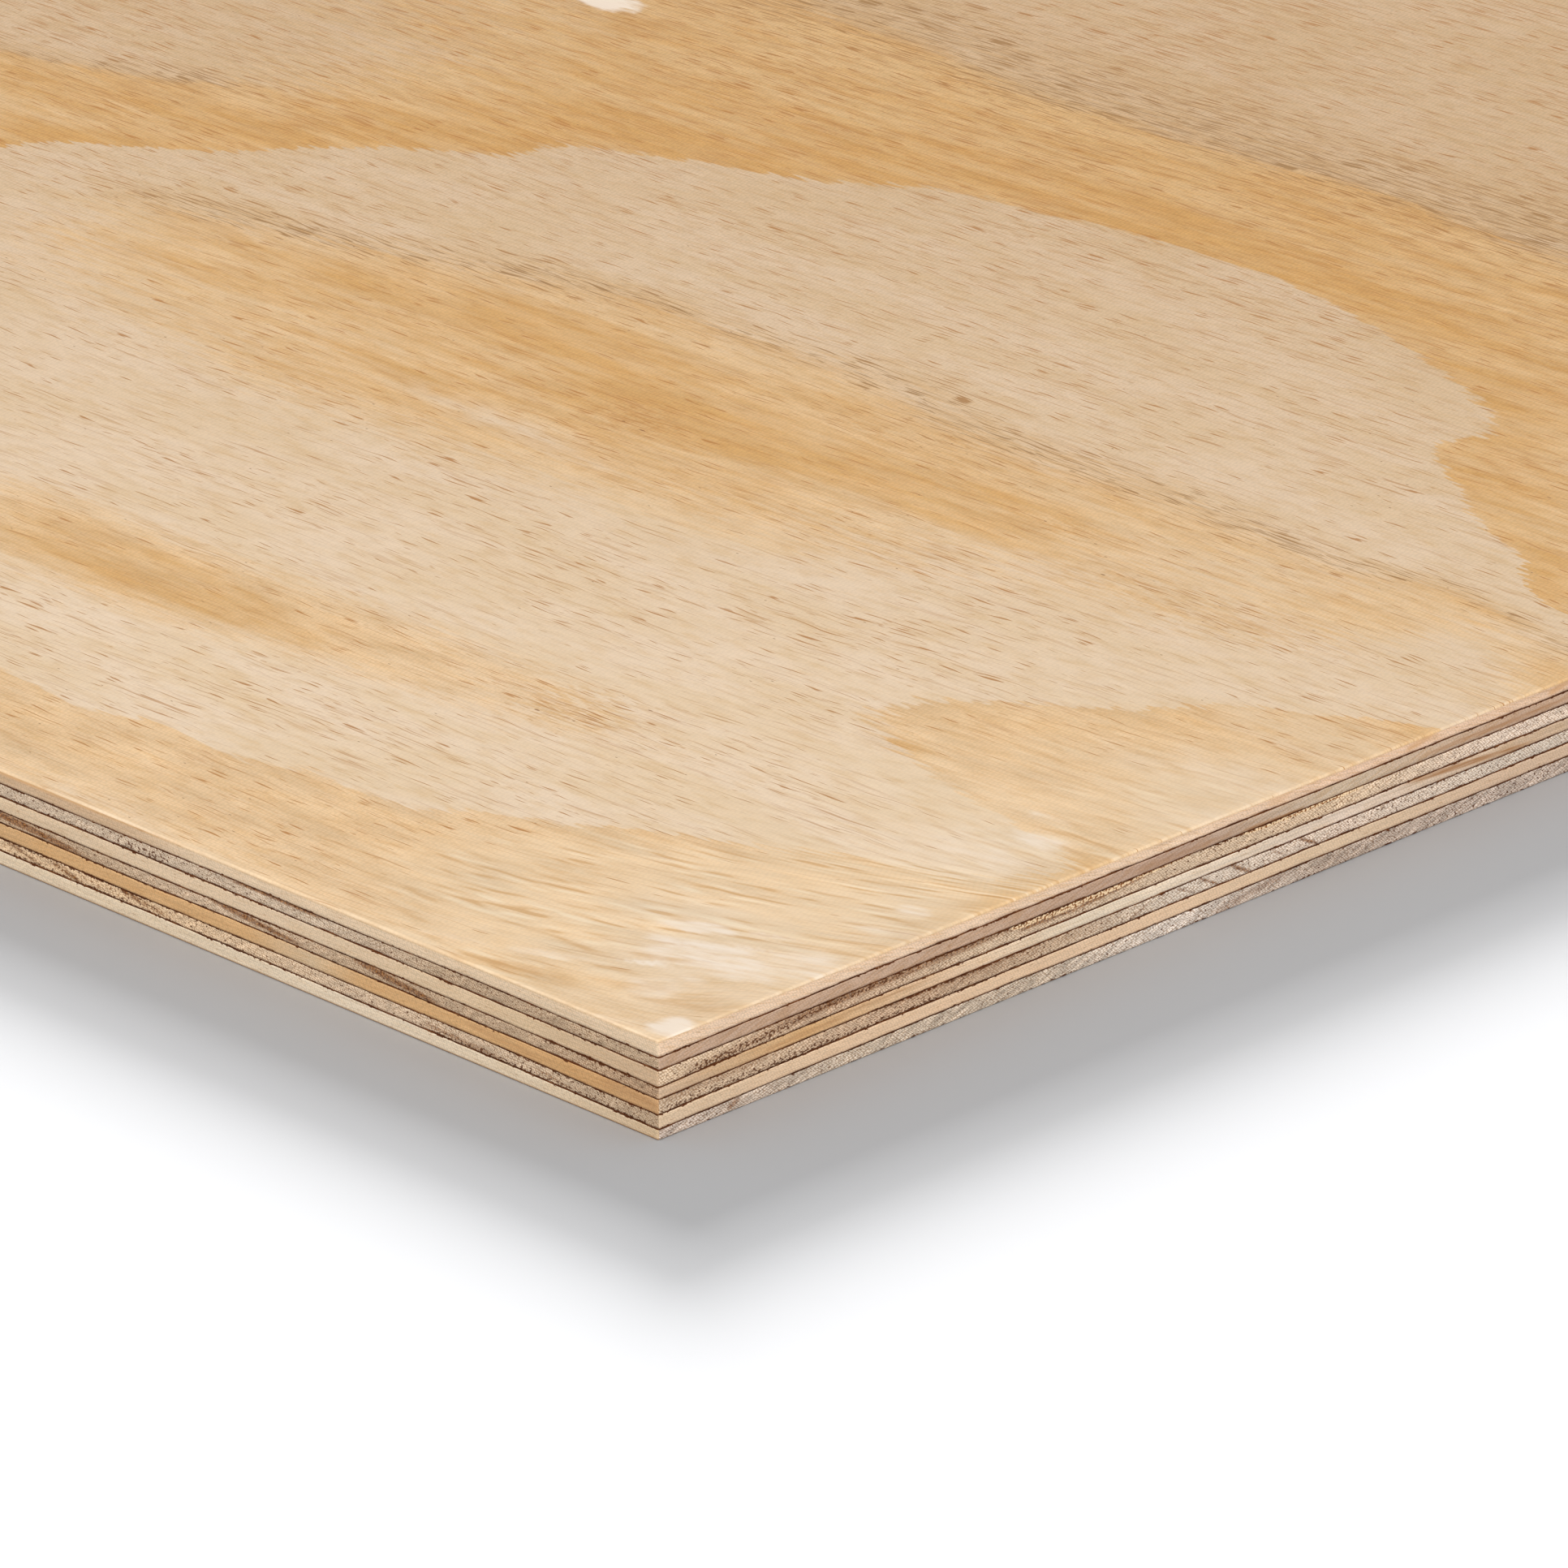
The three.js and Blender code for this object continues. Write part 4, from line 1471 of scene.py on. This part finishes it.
BROWN = srgb(160, 108, 60)
BROWN_GAP = srgb(98, 56, 28)
SIDE_BROWN = srgb(166, 120, 78)
SIDE_GOLD = srgb(208, 160, 112)
GRANULE = srgb(240, 210, 170)
GRANULE_EDGE = srgb(142, 88, 46)
FLECK = srgb(90, 50, 24)
GLUE_BROWN = srgb(92, 48, 20)
GLUE_DARK = srgb(84, 42, 16)
GLUE_DUSTY = srgb(136, 84, 44)
GAP_TINT = (0.68, 0.59, 0.52)
WALL_TINT = (1.28, 1.32, 1.37)
STREAK_LEAN = 20

# Side grain: lean of the fine lines in degrees, their strength, and that of the long streaks. The
# veneers that aren't named here have plain side grain, and the face's end grain is fine like it.
SIDE_GRAIN_LOOKS = {
    "upper_crossband": (16, 0.40, 0.40),
    "centre_crossband": (0, 0.14, 0.50),
    "lower_crossband": (0, 0.08, 0.20),
    "lower_long_veneer": (3, 0.12, 0.26),
}
PLAIN_SIDE_GRAIN = (0, 0.10, 0.22)
FACE_END_GRAIN = (-14, 0.19, 0.16)

# End grain, by the veneer's grain: lean of the rows of pores in degrees, and a pore's length and
# height. Then the strength of the streaks, which are stronger in the back veneer.
END_GRAIN_LOOKS = {"across": (-4, 0.56, 0.36), "along": (12, 0.56, 0.42)}
END_STREAKS, BACK_END_STREAKS = 0.10, 0.20


def edge_grain(f):
    """Grain of a sawn edge: x plus y changes by one for each millimetre along any side."""
    x, y, z = f.place()
    return Grain(f, f.plus(x, y), z)


def start_edge(name):
    """The finish of a sawn edge, with its grain, its height in the veneer and its marks."""
    f = Finish(name)
    f.colour = f.vector_attribute("ply_colour")
    return f, edge_grain(f), f.attribute("rise"), f.parts(f.vector_attribute("marks"))


def glue_bites(f, grain, rise, seed, specks=0.0):
    """Resin that was pressed into the veneer, in blots that thin out away from the glue lines."""
    blots = grain.noise(1.0, 0.46, seed, detail=2.0)
    crowd = f.times_plus(specks, 0.50, grain.noise(7, 9, seed + 1, detail=1.0))
    below_top = f.ramp(f.inverse(rise), 0.0, 0.20, 0.20, -0.15)
    above_bottom = f.ramp(rise, 0.0, 0.14, 0.17, -0.15)
    crowd = f.times(f.plus(crowd, -0.5), 0.45)
    return f.ramp(f.plus(blots, f.greater(below_top, above_bottom), crowd), 0.78, 0.86)


def end_grain(name, seed, lean, pore_length, pore_height, streak):
    """Sawn end grain: staggered rows of pale cell walls, with darker gaps between them."""
    f, grain, rise, (brown, gold, specks) = start_edge(name)

    rows = grain.leaning(lean)
    rows.across = f.plus(rows.across, grain.swing(12, 5, seed + 1, 1.6, detail=1.0))
    rows.along = f.plus(rows.along, grain.swing(3, 1.5, seed + 8, 0.5))
    stagger = 0.5 * pore_length / pore_height
    staggered = Grain(f, f.times_plus(rows.across, stagger, rows.along), rows.across)
    walls = f.ramp(staggered.cells(pore_length, pore_height, seed + 2, 0.4), 0.58, 0.18)
    tufts = rows.noise(1.6, 0.7, seed + 3, detail=3.0, roughness=0.6)
    contrast = f.ramp(grain.noise(6, 1.6, seed + 9, detail=2.0), 0.32, 0.62, 0.65, 1.0)
    f.tint(contrast, f.mix(walls, GAP_TINT, WALL_TINT))
    streaks = grain.leaning(STREAK_LEAN).noise(7, 0.8, seed + 10, detail=2.0)
    f.shade(f.ramp(streaks, 0.28, 0.72, 1 - streak, 1 + streak))
    f.shade(f.ramp(tufts, 0.25, 0.75, 0.88, 1.12))

    granules = grain.cells(0.62, 0.42, seed + 4, 0.7)
    stained = f.mix(f.ramp(granules, 0.22, 0.52), BROWN, BROWN_GAP)
    f.paint(f.times(brown, f.ramp(tufts, 0.3, 0.6, 1.0, 0.75)), stained)
    golden = f.mix(f.ramp(granules, 0.36, 0.60), GRANULE, GRANULE_EDGE)
    f.paint(f.ramp(f.times_plus(f.plus(tufts, -0.5), 0.5, gold), 0.25, 0.5), golden)

    flecks = f.times_plus(specks, 0.20, rows.noise(0.66, 0.44, seed + 6, detail=1.0))
    flecks = f.ramp(flecks, 0.69, 0.76)
    bites = f.greater(glue_bites(f, grain, rise, seed + 7, specks), f.times(flecks, 0.9))
    f.paint(bites, f.mix(flecks, GLUE_BROWN, FLECK))
    relief = f.plus(walls, f.times(tufts, 0.8), f.times(bites, -1.0))
    return f.surface(0.82, relief, 0.05, specular=0.15)


def side_grain(name, node, seed, lean, line_strength, streak):
    """Sawn side grain: long fibres, a fine thread, and the stain of late wood."""
    f, grain, rise, (brown, gold, specks) = start_edge(name)

    fibres = grain.noise(9, 0.18, seed + 1, detail=4.0, roughness=0.62)
    bands = grain.swing(34, 0.6, seed + 2, streak, detail=3.0)
    patches = grain.swing(6, 1.1, seed + 9, 0.14, detail=3.0)
    f.shade(f.plus(f.times_plus(f.plus(fibres, -0.5), 0.36, 1.0), bands, patches))
    leaning = grain.leaning(lean)
    lines = leaning.noise(6.0, 0.34, seed + 3, detail=3.0)
    f.tint(f.ramp(lines, 0.55, 0.30, 0.0, line_strength * 5), DARK_FIBRE)
    slanted = Grain(f, f.times_plus(grain.across, 0.6, grain.along), grain.across)
    f.shade(f.ramp(slanted.cells(0.60, 0.36, seed + 8, 0.5), 0.15, 0.60, 1.10, 0.89))

    soft = f.ramp(grain.noise(9, 0.3, seed + 5, detail=3.0), 0.3, 0.6)
    f.paint(f.times(gold, f.times_plus(soft, 0.3, 0.7)), SIDE_GOLD)
    f.paint(f.times(brown, f.times_plus(soft, 0.5, 0.5)), SIDE_BROWN)
    flecks = f.times_plus(specks, 0.12, leaning.noise(1.6, 0.22, seed + 4))
    f.paint(f.ramp(flecks, 0.79, 0.87, 0.0, 0.5), SIDE_BROWN)

    # Near the sanded face the rings show faintly, and no glue is pressed in from the outer sides.
    bites = glue_bites(f, grain, rise, seed + 7)
    if node == FACE:
        sanded = Grain(f, grain.along, f.attribute("across"))
        late = late_wood(f, sanded, ring_turn(f, sanded, 0.0))
        f.paint(f.times(late, f.ramp(rise, 0.62, 0.80, 0.0, 0.35)), ORANGE_RIPE)
        bites = f.times(bites, f.ramp(rise, 0.75, 0.5))
    # The back's arris and the foot of its edge are painted browner.
    if node == BACK:
        f.paint(f.ramp(rise, 0.0, 0.05, 0.6, 0.0), SIDE_BROWN)
        bites = f.times(bites, f.ramp(rise, 0.25, 0.5))
    f.paint(bites, GLUE_BROWN)
    relief = f.plus(f.times(fibres, 0.7), f.times(lines, 0.7))
    return f.surface(0.72, relief, 0.025, specular=0.18)


def cured_glue():
    """Dark resin, paler where wood dust sticks to it."""
    f = Finish("cured_glue")
    grain = edge_grain(f)
    dust = f.ramp(grain.noise(2.2, 0.5, 61, detail=3.0), 0.46, 0.72)
    f.colour = f.mix(f.times(dust, 0.5), GLUE_DARK, GLUE_DUSTY)
    f.shade(f.ramp(grain.noise(14, 3, 62, detail=2.0), 0.3, 0.7, 0.8, 1.25))
    relief = grain.noise(0.7, 0.3, 63, detail=2.0)
    return f.surface(f.ramp(dust, 0, 1, 0.6, 0.8), relief, 0.03, specular=0.1)


# ---------------- pieces


def stand_for(piece, node, slot):
    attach(piece, "root")
    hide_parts(node)


def edge_finishes(number, node, grain):
    """The side grain and the end grain of a veneer."""
    seed = 10 * number
    side = side_grain(f"{node}_side_grain", node, seed, *SIDE_GRAIN_LOOKS.get(node, PLAIN_SIDE_GRAIN))
    if node == FACE:
        return [side, side_grain(f"{node}_fine_end_grain", node, 75, *FACE_END_GRAIN)]
    streak = BACK_END_STREAKS if node == BACK else END_STREAKS
    return [side, end_grain(f"{node}_end_grain", seed + 5, *END_GRAIN_LOOKS[grain], streak)]


def dress_sheet():
    core_slots = {"along": "long_grain_pine", "across": "crossband_pine"}
    for number, (node, grain) in enumerate(VENEERS):
        finishes = edge_finishes(number, node, grain)
        if node == FACE:
            stand_for(build_face_veneer([*finishes, sanded_wood("sanded_face")]), node, "sanded_pine")
        elif node == BACK:
            stand_for(build_back_veneer([*finishes, sanded_wood("sanded_back")]), node, "sanded_pine")
        else:
            stand_for(build_core_veneer(number, finishes), node, core_slots[grain])
    glue = cured_glue()
    for number, node in enumerate(GLUE_LINES):
        stand_for(build_glue_line(number, [glue]), node, "cured_glue")


# ---------------- floor and light

FLOOR_HALF = 150.0
FLOOR_COLOUR = (0.848, 0.85, 0.862)
AMBIENT = 0.43
WHITE = (1.0, 1.0, 1.0)

# Name, azimuth, elevation, angle across and strength of each lamp, and whether it lights the
# object or the floor. Azimuth is the side that the light comes from, as for the views.
LAMPS = [
    ("key", 38, 52, 30, 1.2, "object"),
    ("front_fill", 50, 16, 40, 1.3, "object"),
    ("top", 45, 84, 50, 0.5, "object"),
    ("overhead", 45, 70, 40, 0.33, "floor"),
    ("behind", 229.1, 12.1, 13.6, 7.95, "floor"),
    ("behind_higher", 233.4, 20.5, 16.1, 2.36, "floor"),
]
LAMP_DISTANCE = 5.0

# Lamps whose light isn't passed on by the object, so that its edges colour the floor only faintly.
DIRECT_ONLY = ("front_fill", "top")
LAMP_BOUNCES = 8


def build_floor():
    mesh = bpy.data.meshes.new("floor")
    corners = [(-1, -1), (1, -1), (1, 1), (-1, 1)]
    mesh.from_pydata([(x * FLOOR_HALF, y * FLOOR_HALF, 0) for x, y in corners], [], [(0, 1, 2, 3)])
    floor = new_object("floor", mesh)
    f = Finish("studio_floor")
    mesh.materials.append(f.output(f.node("ShaderNodeBsdfDiffuse", {"Color": FLOOR_COLOUR})))
    floor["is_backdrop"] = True
    return floor


def group(name, members):
    made = bpy.data.collections.new(name)
    for member in members:
        made.objects.link(member)
    return made


def build_lamps(floor):
    lit = {"object": group("lit_object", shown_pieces()), "floor": group("lit_floor", [floor])}
    for name, azimuth, elevation, width, strength, target in LAMPS:
        data = bpy.data.lights.new(name, "SUN")
        data.energy = strength
        data.angle = math.radians(width)
        data.cycles.max_bounces = 0 if name in DIRECT_ONLY else LAMP_BOUNCES
        lamp = new_object(name, data)
        back = direction(math.radians(azimuth), math.radians(elevation))
        lamp.rotation_mode = "QUATERNION"
        lamp.rotation_quaternion = back.to_track_quat("Z", "Y")
        lamp.location = back * LAMP_DISTANCE
        lamp.light_linking.receiver_collection = lit[target]


def build_world():
    """An even white room: white where the camera or a reflection looks, and dimmer as a light."""
    world = bpy.data.worlds.new("studio")
    bpy.context.scene.world = world
    world.use_nodes = True
    room = Nodes(world.node_tree)
    rays = room.node("ShaderNodeLightPath").outputs
    seen = room.greater(*(rays[f"Is {kind} Ray"] for kind in ("Camera", "Glossy", "Transmission")))
    mixed = {0: seen}
    for place, strength in ((1, AMBIENT), (2, 1.0)):
        inputs = {"Color": WHITE, "Strength": strength}
        mixed[place] = room.node("ShaderNodeBackground", inputs).outputs["Background"]
    both = room.node("ShaderNodeMixShader", mixed)
    room.node("ShaderNodeOutputWorld", {"Surface": both.outputs["Shader"]})


# ---------------- the scene

photo_camera()
dress_sheet()
build_lamps(build_floor())
build_world()
bpy.context.scene.view_settings.view_transform = "Standard"
